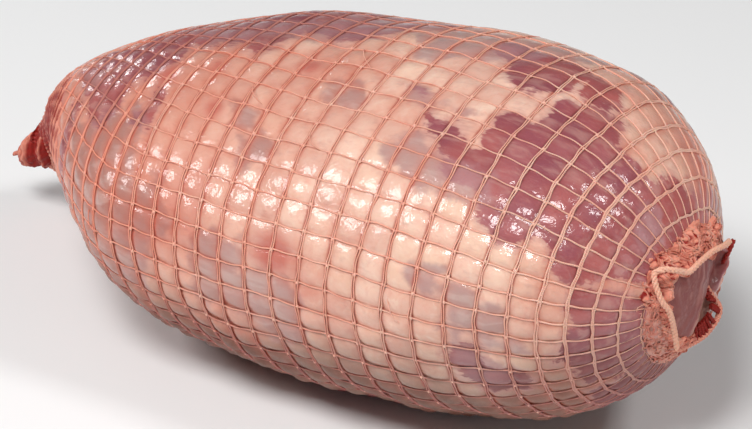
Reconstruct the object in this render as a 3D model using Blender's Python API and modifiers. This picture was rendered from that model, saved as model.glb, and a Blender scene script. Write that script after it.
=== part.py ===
"""A boneless leg of lamb, rolled and drawn tight in a knitted elastic net, lying on its side.

The leg runs along X: its narrow end, where the net is twisted into a knot, points to -X, and its
broad end, where the net's mouth is bunched round a bare patch of meat, points to +X. The origin is
on the floor, under the middle of the whole. Positions along the leg are counted from its narrow end.

The meat is a cage of rings and strands whose cells swell out between the strands. Underneath, the
cells are pressed into flat pads, which the leg rests on. The net is the same cage, a little lifted,
with a strand along each edge, so the strands lie in the furrows of the meat and never touch it.
"""
import math

import bmesh
import bpy
import numpy as np

MM = 0.001
WELD = 0.01 * MM

# The whole
LEG_LENGTH = 260 * MM
MIDDLE_X = 126.0 * MM           # from the narrow end to the middle of the whole
MIDDLE_Y = 0.7 * MM
AXIS_HEIGHT = 53.2 * MM         # of the leg's axis over the floor

# The leg's sections, at seven even stations from the narrow to the broad end. The half sizes are
# those over the strands, before the leg's two ends are rounded off.
HALF_WIDTHS = np.array([29, 55, 73.5, 67.5, 66.5, 73, 83]) * MM
HALF_HEIGHTS = np.array([45, 36.5, 46.5, 49.5, 53.5, 63, 79.5]) * MM
RISES = np.array([-29, -4, -5.5, -4, 1.5, 5.5, 6.5]) * MM
NARROW_END_SIDE_SHIFT = 2.5 * MM
BROAD_END_SIDE_SHIFT = -5 * MM
NARROW_END_ROUNDING = 0.55
BROAD_END_ROUNDING = 0.5
FURROW_DEPTH = 1.8 * MM         # from the outside of the strands into the furrows
LEAN = (-0.055, -0.093, 0.177)  # of the oval section: in the middle, its slope and its curve
THREE_SIDED = -0.032
SAG = 6 * MM                  # of the underside towards the floor, under the broader half
SAG_MIDDLE = 0.66               # shares of the length
SAG_SPREAD = 0.13
SAG_NARROWNESS = 20             # how closely it keeps to the lowest line

# The net's cage
STRANDS = 26
RINGS = 21
FIRST_RING = 13 * MM
LAST_RING = 250 * MM
RING_STEPS = (0.62, 0.8, 0.88, 0.98, 1.06, 1.08, 1.0, 0.9, 0.8)  # knot to mouth, in even shares
RING_TILT_UP = (0.0, -0.10, -0.135, -0.08, -0.03, 0.025, 0.05)
RING_TILT_SIDE = (0.0, -0.12, -0.18, -0.135, -0.085, -0.035, 0.0)
RING_REACH = 252 * MM           # how far a leaning ring may reach
STRAND_START = math.radians(5)
STRAND_TWIST = math.radians(31)
STRAND_THICKNESS = 1.6 * MM
STRAND_LIFT = 1.15 * MM         # from the furrow to the middle of the strand

# The meat between the strands
PILLOW_SHARE = 0.15             # of a cell's shortest side
PAD_DEPTH = 2.3 * MM            # from the furrows underneath down to the floor
PAD_MARGIN = 2.8 * MM
PAD_CLEARANCE = 0.3 * MM        # of the cells round the pads

# The narrow end
TIP_X = 7.5 * MM
TIP_RADIUS = 7.5 * MM
NET_START_X = 4.6 * MM
NET_START_RADIUS = 8.2 * MM
KNOT_X = np.array([-10.8, -8.6, -5.6, -2.4, 0.8, 3.6, 5.3]) * MM
KNOT_RADII = np.array([2.2, 5.2, 7.0, 6.6, 7.0, 8.6, 8.2]) * MM
KNOT_DROOP = 0.2                # a metre of fall for each metre outwards
KNOT_FOLD_DEPTHS = (0.14, 0.14, 0.14, 0.14, 0.14, 0, 0)
KNOT_TAIL_X = -13.5 * MM
KNOT_SIDES = 18
KNOT_FOLDS = 5
KNOT_FOLD_TWIST = 260.0         # radians a metre

# The broad end
ROLL_X = 257.5 * MM             # middle of the bunched mouth
ROLL_RADIUS = 19.5 * MM
ROLL_THICKNESS = 10 * MM
THIN_SIDE = math.radians(222)   # where the mouth isn't bunched, low on its +Y side
THIN_SHARE = 0.55               # of the roll's thickness
THIN_INSET = 4 * MM
ROLL_SEGMENTS = 30
ROLL_SIDES = 8
ROLL_FOLDS = 11
ROLL_FOLD_DEPTH = 0.2
ROLL_FOLD_DRIFT = 1.5
NET_END_X = 256.6 * MM
NET_END_RADIUS = 23.2 * MM
NET_END_INSET = 5.8 * MM
RECESS_X = 251.8 * MM
RECESS_RADIUS = 25.0 * MM
FACE_HALF_WIDTH = 12.8 * MM
FACE_HALF_HEIGHT = 11.6 * MM
FACE_RINGS = ((251.8, 1.0), (261.2, 0.97), (262.8, 0.8))  # x in millimetres, share of the size
FACE_X = 263.2 * MM

# The elastic cord drawn through the mouth: x along the leg, then y and z from the mouth's middle
CORD_DIAMETER = 1.8 * MM
CORD_ROUTE = (
    (262.6, 14.6, 11.4), (263.9, 9.6, 12.7), (264.0, 2.6, 13.8), (264.0, -4.4, 13.4),
    (264.0, -9.6, 12.9), (263.6, -15.6, 15.8), (261.6, -19.2, 17.2), (259.6, -21.0, 16.0),
    (261.0, -22.0, 12.6), (263.2, -22.0, 8.6), (264.2, -19.6, 4.6), (264.4, -16.8, -2.6),
    (264.3, -14.6, -9.6),
)
CORD_POINTS = 40

# The loop of the net's edge that stands off at the lower side of the mouth
LOOP_DIAMETER = 2.0 * MM
LOOP_ROUTE = (
    (257.5, 17.2, -1.0), (260.6, 18.0, -5.0), (262.4, 16.2, -9.4), (262.6, 13.2, -13.0),
    (261.4, 9.4, -15.8), (257.5, 5.4, -17.6),
)
LOOP_POINTS = 18

bpy.ops.object.select_all(action="DESELECT")
for old in list(bpy.data.objects):
    bpy.data.objects.remove(old, do_unlink=True)

leg = bpy.data.collections.new("netted_leg_of_lamb")
bpy.context.scene.collection.children.link(leg)
net_ends = bpy.data.collections.new("net_ends")
bpy.context.scene.collection.children.link(net_ends)


def along(values, share):
    """A smooth curve through evenly spaced values, read at shares of its length."""
    values = np.asarray(values, float)
    spans = len(values) - 1
    before = 2 * values[0] - values[1]
    after = 2 * values[-1] - values[-2]
    padded = np.concatenate([[before], values, [after]])
    place = np.clip(share, 0, 1) * spans
    span = np.minimum(place.astype(int), spans - 1)
    t = place - span
    a, b, c, d = (padded[span + k] for k in range(4))
    return b + 0.5 * t * (c - a + t * (2 * a - 5 * b + 4 * c - d + t * (3 * (b - c) + d - a)))


def leg_middle(x):
    """The middle of the leg's section: how far it lies to the side and how far it rises."""
    share = np.clip(x / LEG_LENGTH, 0, 1)
    side = NARROW_END_SIDE_SHIFT * (1 - share) ** 4 + BROAD_END_SIDE_SHIFT * share ** 4
    return np.stack([x, side, along(RISES, share)], axis=-1)


def leg_points(x, angle):
    """Points of the leg's skin, angle running from the top over the -Y side."""
    share = np.clip(x / LEG_LENGTH, 0, 1)
    peak = NARROW_END_ROUNDING / (NARROW_END_ROUNDING + BROAD_END_ROUNDING)
    rounding = (share / peak) ** NARROW_END_ROUNDING * ((1 - share) / (1 - peak)) ** BROAD_END_ROUNDING
    half_width = along(HALF_WIDTHS, share) * rounding - FURROW_DEPTH
    half_height = along(HALF_HEIGHTS, share) * rounding - FURROW_DEPTH
    way = 2 * share - 1
    lean = LEAN[0] + LEAN[1] * way + LEAN[2] * way ** 2
    swell = 1 + lean * np.sin(2 * angle) + THREE_SIDED * np.cos(3 * angle)
    points = leg_middle(x)
    points[..., 1] -= half_width * np.sin(angle) * swell
    points[..., 2] += half_height * np.cos(angle) * swell
    sag = SAG * np.exp(-((share - SAG_MIDDLE) / SAG_SPREAD) ** 2)
    points[..., 2] -= sag * (0.5 - 0.5 * np.cos(angle)) ** SAG_NARROWNESS
    return points


def placed(points):
    """Points of the leg moved to stand over the origin, pressed flat where the leg rests."""
    points = points - np.array([MIDDLE_X, MIDDLE_Y, -AXIS_HEIGHT])
    points[..., 2] = np.maximum(points[..., 2], PAD_DEPTH)
    return points


def knot_middle(x):
    """The middle of the net's knot, at one place along the leg: its tail droops."""
    return leg_middle(x) + np.array([0, 0, KNOT_DROOP * min(x, 0)])


def mouth_middle(x):
    """The middle of the net's mouth, at one place along the leg."""
    return np.array([x, MOUTH[1], MOUTH[2]])


def thinning(angle):
    """1 where the mouth is least bunched, falling to 0 away from there."""
    return (0.5 + 0.5 * np.cos(angle - THIN_SIDE)) ** 4


def strand_angles(x):
    """The angle of each strand at one place along the leg: the net twists a little."""
    spread = np.arange(STRANDS) / STRANDS * 2 * math.pi
    return STRAND_START + spread + STRAND_TWIST * (x / LEG_LENGTH - 0.5)


def tilted_ring(x):
    """One ring of the net, whose plane leans a little."""
    angles = strand_angles(x)
    points = leg_points(np.full(STRANDS, x), angles)
    share = np.array([x / LEG_LENGTH])
    shift = along(RING_TILT_UP, share) * points[:, 2] + along(RING_TILT_SIDE, share) * points[:, 1]
    return leg_points(np.clip(x + shift, FIRST_RING, RING_REACH), angles)


def oval_ring(middle, half_width, half_height, angles):
    """A flat oval ring across the leg."""
    sides = half_width * np.sin(angles)
    heights = half_height * np.cos(angles)
    return middle + np.stack([0 * angles, -sides, heights], axis=-1)


def ring_places():
    """Where the rings cross the leg's side: close at the knot, widest apart past the middle."""
    x = np.linspace(FIRST_RING, LAST_RING, 600)
    side = leg_points(x, np.full(len(x), math.pi / 2))
    lengths = np.concatenate([[0], np.cumsum(np.linalg.norm(np.diff(side, axis=0), axis=1))])
    steps = along(RING_STEPS, np.linspace(0, 1, RINGS - 1))
    shares = np.concatenate([[0], np.cumsum(steps)]) / steps.sum()
    return np.interp(shares * lengths[-1], lengths, x)


def material(name, colour, roughness):
    new = bpy.data.materials.new(name)
    new.use_nodes = True
    shader = new.node_tree.nodes["Principled BSDF"]
    shader.inputs["Base Color"].default_value = (*colour, 1.0)
    shader.inputs["Roughness"].default_value = roughness
    return new


def add_object(name, bm, finish, collection):
    mesh = bpy.data.meshes.new(name)
    bm.to_mesh(mesh)
    bm.free()
    new = bpy.data.objects.new(name, mesh)
    new.data.materials.append(finish)
    collection.objects.link(new)
    return new


def cage(rings, narrow_tip, broad_tip):
    """A sphere's grid moved onto the given rings, narrow end first; its poles go to the two tips."""
    sides = rings.shape[1]
    bm = bmesh.new()
    bmesh.ops.create_uvsphere(bm, u_segments=sides, v_segments=len(rings) + 1, radius=1.0)
    for vert in bm.verts:
        row = round((math.pi - math.acos(max(-1.0, min(1.0, vert.co.z)))) / math.pi * (len(rings) + 1))
        if row == 0:
            vert.co = narrow_tip
        elif row == len(rings) + 1:
            vert.co = broad_tip
        else:
            column = math.floor(math.atan2(vert.co.y, vert.co.x) / (2 * math.pi) * sides) % sides
            vert.co = rings[row - 1][column]
    bmesh.ops.recalc_face_normals(bm, faces=bm.faces)
    return bm


def tube(name, route, diameter, count):
    """A cord along a smooth curve through its route, as a curve object with filled caps."""
    route = np.array(route) * MM
    route[:, 1:] += MOUTH[1:]
    share = np.linspace(0, 1, count)
    points = placed(np.stack([along(route[:, axis], share) for axis in range(3)], axis=-1))
    curve = bpy.data.curves.new(name, "CURVE")
    curve.dimensions = "3D"
    curve.bevel_depth = diameter / 2
    curve.bevel_resolution = 1
    curve.use_fill_caps = True
    spline = curve.splines.new("POLY")
    spline.points.add(count - 1)
    for slot, place in zip(spline.points, points):
        slot.co = (*place, 1.0)
    return bpy.data.objects.new(name, curve)


def as_mesh(curve_object, finish, collection):
    """The mesh of a curve object, its caps welded on."""
    leg.objects.link(curve_object)
    bpy.context.view_layer.update()
    evaluated = curve_object.evaluated_get(bpy.context.evaluated_depsgraph_get())
    mesh = bpy.data.meshes.new_from_object(evaluated)
    bm = bmesh.new()
    bm.from_mesh(mesh)
    bmesh.ops.remove_doubles(bm, verts=bm.verts, dist=WELD)
    bmesh.ops.recalc_face_normals(bm, faces=bm.faces)
    name = curve_object.name
    bpy.data.objects.remove(curve_object, do_unlink=True)
    bpy.data.meshes.remove(mesh)
    return add_object(name, bm, finish, collection)


MOUTH = leg_middle(LEG_LENGTH)

raw_meat = material("raw_meat", (0.62, 0.30, 0.24), 0.35)
elastic_net = material("elastic_net", (0.80, 0.42, 0.33), 0.6)
pale_cord = material("pale_cord", (0.86, 0.58, 0.46), 0.6)

# The meat: its tip, the ringed body, the recess under the bunched mouth and the bare face
body_rings = [tilted_ring(x) for x in ring_places()]
tip_ring = oval_ring(leg_middle(TIP_X), TIP_RADIUS, TIP_RADIUS, strand_angles(TIP_X))
end_angles = strand_angles(LAST_RING)
recess_radii = RECESS_RADIUS - THIN_INSET * thinning(end_angles)
recess_ring = oval_ring(mouth_middle(RECESS_X), recess_radii, recess_radii, end_angles)
face_rings = [
    oval_ring(mouth_middle(x * MM), FACE_HALF_WIDTH * size, FACE_HALF_HEIGHT * size, end_angles)
    for x, size in FACE_RINGS]
meat_rings = placed(np.array([tip_ring, *body_rings, recess_ring, *face_rings]))
bm = cage(meat_rings, placed(leg_middle(TIP_X)), placed(mouth_middle(FACE_X)))

# Cells of the body swell out; the cells that lie on the floor get a flat pad each
body_from = (TIP_X + FIRST_RING) / 2 - MIDDLE_X
body_to = (LAST_RING + RECESS_X) / 2 - MIDDLE_X
cells = [face for face in bm.faces
         if len(face.verts) == 4 and all(body_from < vert.co.x < body_to for vert in face.verts)]
pressed = [face for face in cells if all(vert.co.z < PAD_DEPTH + WELD for vert in face.verts)]
swollen = [(face, PILLOW_SHARE * min(edge.calc_length() for edge in face.edges))
           for face in cells if face not in pressed]
bmesh.ops.inset_individual(bm, faces=pressed, thickness=PAD_MARGIN, use_even_offset=True)
for face in pressed:
    for vert in face.verts:
        vert.co.z = 0.0
for face, height in swollen:
    middle = bmesh.ops.poke(bm, faces=[face], offset=height)["verts"][0]
    middle.co.z = max(middle.co.z, PAD_CLEARANCE)
meat = add_object("meat", bm, raw_meat, leg)

# The net: the same cage, lifted, with a strand on each edge
start_angles = strand_angles(NET_START_X)
net_start = oval_ring(leg_middle(NET_START_X), NET_START_RADIUS, NET_START_RADIUS, start_angles)
end_radii = NET_END_RADIUS - NET_END_INSET * thinning(end_angles)
net_end = oval_ring(mouth_middle(NET_END_X), end_radii, end_radii, end_angles)
net_rings = placed(np.array([net_start, *body_rings, net_end]))
bm = cage(net_rings, placed(leg_middle(NET_START_X)), placed(mouth_middle(NET_END_X)))
poles = [vert for vert in bm.verts if len(vert.link_edges) == STRANDS]
bmesh.ops.delete(bm, geom=poles, context="VERTS")
net = add_object("net", bm, elastic_net, leg)
lift = net.modifiers.new("lift", "DISPLACE")
lift.strength = STRAND_LIFT
lift.mid_level = 0.0
strands = net.modifiers.new("strands", "WIREFRAME")
strands.thickness = STRAND_THICKNESS
strands.use_boundary = True
strands.use_replace = True

# The knot: the net's end twisted into folds, with a stub of a tail
turn = np.arange(KNOT_SIDES) / KNOT_SIDES * 2 * math.pi
knot_rings = []
for x, radius, depth in zip(KNOT_X, KNOT_RADII, KNOT_FOLD_DEPTHS):
    folded = radius * (1 - depth * (0.5 + 0.5 * np.cos(KNOT_FOLDS * turn + KNOT_FOLD_TWIST * x)))
    knot_rings.append(oval_ring(knot_middle(x), folded, folded, turn))
bm = cage(placed(np.array(knot_rings)), placed(knot_middle(KNOT_TAIL_X)), placed(knot_middle(KNOT_X[-1])))
knot = add_object("net_knot", bm, elastic_net, net_ends)

# The bunched mouth: a roll of folds round the bare face
bpy.ops.mesh.primitive_torus_add(
    major_segments=ROLL_SEGMENTS, minor_segments=ROLL_SIDES, major_radius=ROLL_RADIUS,
    minor_radius=ROLL_THICKNESS / 2, location=(0, 0, 0), rotation=(0, 0, 0))
torus = bpy.context.active_object
bm = bmesh.new()
bm.from_mesh(torus.data)
bpy.data.objects.remove(torus, do_unlink=True)
roll_middle = placed(mouth_middle(ROLL_X))
for vert in bm.verts:
    out = math.hypot(vert.co.x, vert.co.y) - ROLL_RADIUS
    angle = math.atan2(vert.co.y, vert.co.x)
    wave = math.cos(ROLL_FOLDS * angle + ROLL_FOLD_DRIFT * math.sin(2 * angle))
    fold = (1 - ROLL_FOLD_DEPTH * (0.5 + 0.5 * wave)) * (1 - THIN_SHARE * thinning(angle))
    radius = ROLL_RADIUS - THIN_INSET * thinning(angle) + out * fold
    vert.co = (
        roll_middle[0] + vert.co.z * fold,
        roll_middle[1] - radius * math.sin(angle),
        roll_middle[2] + radius * math.cos(angle),
    )
bmesh.ops.recalc_face_normals(bm, faces=bm.faces)
roll = add_object("net_roll", bm, elastic_net, net_ends)
loop = as_mesh(tube("net_loop", LOOP_ROUTE, LOOP_DIAMETER, LOOP_POINTS), elastic_net, net_ends)

# Knot, roll and loop are the same knitted net: one union joins them to the strands
union = net.modifiers.new("ends", "BOOLEAN")
union.operation = "UNION"
union.operand_type = "COLLECTION"
union.collection = net_ends
union.solver = "EXACT"
bpy.context.view_layer.update()
joined = bpy.data.meshes.new_from_object(net.evaluated_get(bpy.context.evaluated_depsgraph_get()))
joined.name = "net"
net.modifiers.clear()
net.data = joined
for piece in list(net_ends.objects):
    bpy.data.objects.remove(piece, do_unlink=True)

cord = as_mesh(tube("mouth_cord", CORD_ROUTE, CORD_DIAMETER, CORD_POINTS), pale_cord, leg)
cord.data.shade_smooth()
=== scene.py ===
# %% [markdown]
# # A boneless leg of lamb in its elastic net
#
# The real object is a raw leg of lamb without its bone, rolled and pushed into a knitted elastic net.
# The net draws the meat into an uneven oval. It is twisted into a knot at the narrow end and bunched
# into a frill round a bare patch of meat at the broad end. This file builds what shows of it: the
# cushioned skin, the threads of the net, the knot, the frill and the loose cord, with their finishes.
#
# The solids of the imported model come first. They are the frame that every piece has to fit.

# %% Load the imported model
import math

import bpy
import numpy as np
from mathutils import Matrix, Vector


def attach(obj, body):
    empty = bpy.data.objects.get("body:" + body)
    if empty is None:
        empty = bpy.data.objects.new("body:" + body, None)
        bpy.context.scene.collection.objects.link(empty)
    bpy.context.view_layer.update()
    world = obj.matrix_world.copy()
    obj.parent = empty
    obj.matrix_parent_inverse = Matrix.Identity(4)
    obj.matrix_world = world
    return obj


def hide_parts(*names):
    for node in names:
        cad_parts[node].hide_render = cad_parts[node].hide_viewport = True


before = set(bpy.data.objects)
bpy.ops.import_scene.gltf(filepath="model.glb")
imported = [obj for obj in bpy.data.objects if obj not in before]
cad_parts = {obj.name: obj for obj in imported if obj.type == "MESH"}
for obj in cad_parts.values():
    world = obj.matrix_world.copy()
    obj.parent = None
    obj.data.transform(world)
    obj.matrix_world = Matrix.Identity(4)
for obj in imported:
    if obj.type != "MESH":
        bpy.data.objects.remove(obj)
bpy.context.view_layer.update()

# %% [markdown]
# ## The skin of the leg
#
# A roast could be sculpted, but a formula is easier to read and to change. Seven sections along the
# leg give its width, its height and how far its middle rises. Each section is an oval that leans a
# little and is slightly three sided. Underneath, the skin sags and is pressed flat on the floor, as a
# soft joint is.

# %% The leg's form, as a function of the place along it and the angle round it
MM, TURN = 0.001, 2 * math.pi
LEG = 260 * MM
MIDDLE = np.array([126.0, 0.7, -53.2]) * MM  # the frame's origin, seen from the narrow end
HALF_WIDTHS = np.array([29, 55, 73.5, 67.5, 66.5, 73, 83]) * MM
HALF_HEIGHTS = np.array([45, 36.5, 46.5, 49.5, 53.5, 63, 79.5]) * MM
RISES = np.array([-29, -4, -5.5, -4, 1.5, 5.5, 6.5]) * MM
TIP_POWER, END_POWER = 0.55, 0.5  # how the two ends close: the smaller, the blunter
SAG, SAG_PLACE, SAG_REACH = 6 * MM, 0.66, 0.13  # depth, then middle and reach as shares of the leg
LOWEST_SKIN, SOFT_RIM = 0.6 * MM, 0.6 * MM  # height of the flat underside, rounding of its rim


def along(values, share):
    """A smooth curve through evenly spaced values, read at shares of its length: a Catmull-Rom spline."""
    values = np.asarray(values, float)
    spans = len(values) - 1
    padded = np.concatenate([[2 * values[0] - values[1]], values, [2 * values[-1] - values[-2]]])
    place = np.clip(share, 0, 1) * spans
    span = np.minimum(place.astype(int), spans - 1)
    t = place - span
    a, b, c, d = (padded[span + k] for k in range(4))
    return b + 0.5 * t * (c - a + t * (2 * a - 5 * b + 4 * c - d + t * (3 * (b - c) + d - a)))


def round_steps(count):
    """Even steps round a whole turn."""
    return np.arange(count) / count * TURN


def stacked(*parts):
    """Arrays spread to one shape and joined along a new last axis, as x, y and z are into points."""
    return np.stack(np.broadcast_arrays(*parts), axis=-1)


def skin(x, angle):
    """Points of the skin, seen from the narrow end: an oval of the half width and half height at x,
    times a swelling 1 + lean * sin(2 angle) - 0.032 * cos(3 angle), less the sag on the underside. The two
    ends bow a little to the side. Angle 0 is the top, 90 degrees -Y."""
    share = np.clip(x / LEG, 1e-5, 1 - 1e-5)
    peak = TIP_POWER / (TIP_POWER + END_POWER)
    rounding = (share / peak) ** TIP_POWER * ((1 - share) / (1 - peak)) ** END_POWER
    way = 2 * share - 1
    lean = -0.055 - 0.093 * way + 0.177 * way ** 2
    swell = rounding * (1 + lean * np.sin(2 * angle) - 0.032 * np.cos(3 * angle))
    bow = 2.5 * MM * (1 - share) ** 4 - 5 * MM * share ** 4
    side = bow - along(HALF_WIDTHS, share) * swell * np.sin(angle)
    rise = along(RISES, share) + along(HALF_HEIGHTS, share) * swell * np.cos(angle)
    sag = SAG * np.exp(-((share - SAG_PLACE) / SAG_REACH) ** 2) * (0.5 - 0.5 * np.cos(angle)) ** 20
    return stacked(x, side, rise - sag)


def settled(points):
    """Points moved to stand over the frame's origin, with the underside pressed flat, softly at its rim."""
    points = points - MIDDLE
    over = points[..., 2] - LOWEST_SKIN
    points[..., 2] = LOWEST_SKIN + 0.5 * (over + np.sqrt(over ** 2 + SOFT_RIM ** 2))
    return points


section = skin(LEG / 2, np.linspace(0, TURN, 90))
print("width and height of the section half way, mm", np.round(np.ptp(section, axis=0)[1:] / MM))

# %% [markdown]
# ## Places in the net
#
# Everything on the skin follows the net: the cushions, the furrows, the threads and the patches of fat.
# So a place is given by two numbers, the ring of the net that it is on and the strand. Ring -22 is at
# the knot and ring 12 at the frill, and 42 strands run along the leg. Halves lie between threads.
#
# The rings lean, more so at the narrow end, and the strands twist slowly round the leg.

# %% From ring and strand to a point, its normal and the size of the cell
FIRST_RING, LAST_RING, STRANDS = -23, 12, 42
STRAND_START, STRAND_TWIST = 61.77, 1.034  # degrees: strand 0 at ring 2, and the turn with each ring
RING_ARCS = np.array([2, 36.5, 75, 115.4, 158.3, 209.9, 260.4, 302.3]) * MM
RING_LEAN_UP = [0, -0.08, -0.125, -0.1413, -0.0864, -0.0315, 0.0234, 0.0785]
RING_LEAN_SIDE = [0, -0.11, -0.168, -0.1905, -0.1393, -0.0882, -0.0371, 0.0142]

side_x = np.linspace(0, LEG, 4001)
side_steps = np.linalg.norm(np.diff(skin(side_x, TURN / 4), axis=0), axis=1)
side_arc = np.concatenate([[0], np.cumsum(side_steps)])


def strand_angle(ring, strand):
    """The angle round the leg: even shares of a turn, and about one degree more with each ring."""
    return np.radians(STRAND_START + 360 / STRANDS * strand + STRAND_TWIST * (ring - 2))


def woven(ring, strand):
    """The point of the skin at a place in the net. The ring's arc length along the -Y side gives x,
    and x then shifts by the ring's two leans times the height and the side of the point."""
    share = (ring - FIRST_RING) / (LAST_RING - FIRST_RING)
    angle = strand_angle(ring, strand)
    x = np.interp(along(RING_ARCS, share), side_arc, side_x)
    seat = skin(x, angle)
    x = x + along(RING_LEAN_UP, share) * seat[..., 2] + along(RING_LEAN_SIDE, share) * seat[..., 1]
    return settled(skin(np.clip(x, 4 * MM, 257.5 * MM), angle))


def unit(vectors):
    """Vectors divided by their lengths."""
    return vectors / np.maximum(np.linalg.norm(vectors, axis=-1, keepdims=True), 1e-12)


def lie(ring, strand, step=0.03):
    """Point, outward normal, and the lengths of one ring step and one strand step at a place in the net:
    the differences of points a little before and after it, and the cross product of the two."""
    ahead = (woven(ring + step, strand) - woven(ring - step, strand)) / (2 * step)
    round_leg = (woven(ring, strand + step) - woven(ring, strand - step)) / (2 * step)
    normal = unit(np.cross(round_leg, ahead))
    return woven(ring, strand), normal, np.linalg.norm(ahead, axis=-1), np.linalg.norm(round_leg, axis=-1)


steps = np.array(lie(np.array([-20.0, 0.0, 10.0]), 3.0)[2:]) / MM
print("cells along and across at the knot, the middle and the frill, mm", np.round(steps, 1).tolist())

# %% [markdown]
# ## Cushions and furrows
#
# Elastic threads sink into soft meat, and each cell of the net swells out between them. One way is a
# displacement on a coarse cage. Here each point of the skin gets its height from a formula instead: low
# near a ring or a strand, high and slightly domed in the middle of the cell. Fat swells more than lean
# meat, and no two cells are alike, so seeded numbers change the height and the tilt of each one.
#
# Two things come on top of that. The joint has broad hills, and beside the knot the net presses two
# hollows into it. Near the knot the net is drawn together over the meat, so there the cushions end.

# %% Seeded unevenness, and the broad hills and hollows
def waves(points, size, seed, count=20):
    """Smooth unevenness between about -1 and 1: the sum of seeded sine waves about size long."""
    rng = np.random.default_rng(seed)
    ways = unit(rng.normal(size=(count, points.shape[-1]))) * TURN / size
    ways *= rng.uniform(0.6, 1.5, (count, 1))
    total = np.zeros(points.shape[:-1])
    for way, phase in zip(ways, rng.uniform(0, TURN, count)):
        total += np.sin(points @ way + phase)
    return total / math.sqrt(count)


def ease(value, start, end):
    """0 up to the start, 1 from the end on and even between them. The start may be the larger one."""
    return np.clip((value - start) / (end - start), 0, 1)


def strands_from(strand, middle):
    """How many strands a place is from the middle, the shorter way round the leg."""
    return (strand - middle + STRANDS / 2) % STRANDS - STRANDS / 2


DENTS = [((20, -17, -20), 6, 16), ((36, -29, -3), 4, 12)]  # middle, depth and reach in mm


def swelling(points):
    """The joint's broad hills and hollows, the same for the meat and for the net that lies on it: waves,
    less the dents beside the knot, each its depth times exp(-(distance / reach) ** 2)."""
    height = 0.35 * MM * waves(points, 38 * MM, 3)
    for middle, depth, reach in DENTS:
        away = np.linalg.norm(points + MIDDLE - np.array(middle) * MM, axis=-1)
        height -= depth * MM * np.exp(-(away / (reach * MM)) ** 2)
    return height


def gather_edge(strand):
    """The ring at which the net drawn together at the knot opens into cells: -17.6, and up to 5.4 rings
    further on in front, round strand 4.5."""
    return -17.6 + 5.4 * np.exp(-(strands_from(strand, 4.5) / 6.5) ** 2)


def drawn_together(ring, strand):
    """1 in the net drawn together at the knot, 0 in the open net, changing over one ring."""
    return np.clip(gather_edge(strand) - ring, 0, 1)


def turned_under(normals):
    """How much the skin faces the table: 0 where its normal dips 5 degrees, 1 where it dips 39, and below 0
    where it looks up."""
    return np.clip(-0.145 - 1.8 * normals[..., 2], -1, 1)


print("dents beside the knot, mm deep", [depth for _, depth, _ in DENTS])

# %% The height of the cushions
CELL = 9.5 * MM  # a cell of this size has a cushion of the full height
RING_FURROW, STRAND_FURROW = 1.5 * MM, 1.2 * MM  # how far from a thread the meat has risen by two thirds
# The red beside a thread is partly the meat's own colour and partly painted shade.
RING_SHADE, STRAND_SHADE = 2.2 * MM, 1.9 * MM  # how far the red beside a thread reaches

cell_rng = np.random.default_rng(7)
CELL_HEIGHTS = cell_rng.uniform(-1, 1, (40, STRANDS))
CELL_TILTS = cell_rng.uniform(-1, 1, (2, 40, STRANDS))


def rise_from(distance, reach):
    """0 on a thread, rising to 1 away from it: 1 - exp(-(distance / reach) ** 1.6)."""
    return 1 - np.exp(-(np.abs(distance) / reach) ** 1.6)


def cushion(ring, strand, ring_step, strand_step, softness):
    """How far the meat stands out from the skin through the threads, how near it is to a thread, and the
    cell's own number. Height = the cell's dome and tilt times the rise from the ring and the rise from
    the strand, less the two furrows, all times the softness."""
    scale = np.clip(np.minimum(ring_step, strand_step) / CELL, 0.12, 1.05)
    from_ring = (ring - np.round(ring)) * ring_step
    from_strand = (strand - np.round(strand)) * strand_step
    ring_rise = rise_from(from_ring, RING_FURROW * scale)
    strand_rise = rise_from(from_strand, STRAND_FURROW * scale)
    over, across = ring - np.floor(ring) - 0.5, strand - np.floor(strand) - 0.5
    dome = (1 - 4 * over ** 2) * (1 - 4 * across ** 2)
    row, column = np.floor(ring).astype(int) - FIRST_RING, np.floor(strand).astype(int) % STRANDS
    number, tilts = CELL_HEIGHTS[row, column], CELL_TILTS[:, row, column]
    domed = 0.1 + 0.58 * dome + 0.14 * number + 0.4 * (tilts[0] * over + tilts[1] * across)
    height = domed * ring_rise * strand_rise - 0.55 * (1 - ring_rise) - 0.4 * (1 - strand_rise)
    near = np.maximum(1 - rise_from(from_ring, RING_SHADE * scale),
                      0.75 * (1 - rise_from(from_strand, STRAND_SHADE * scale)))
    return height * softness * scale * MM, near, number * np.minimum(dome * 3, 1)


print("cells with a height and a tilt of their own", CELL_HEIGHTS.size)
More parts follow.
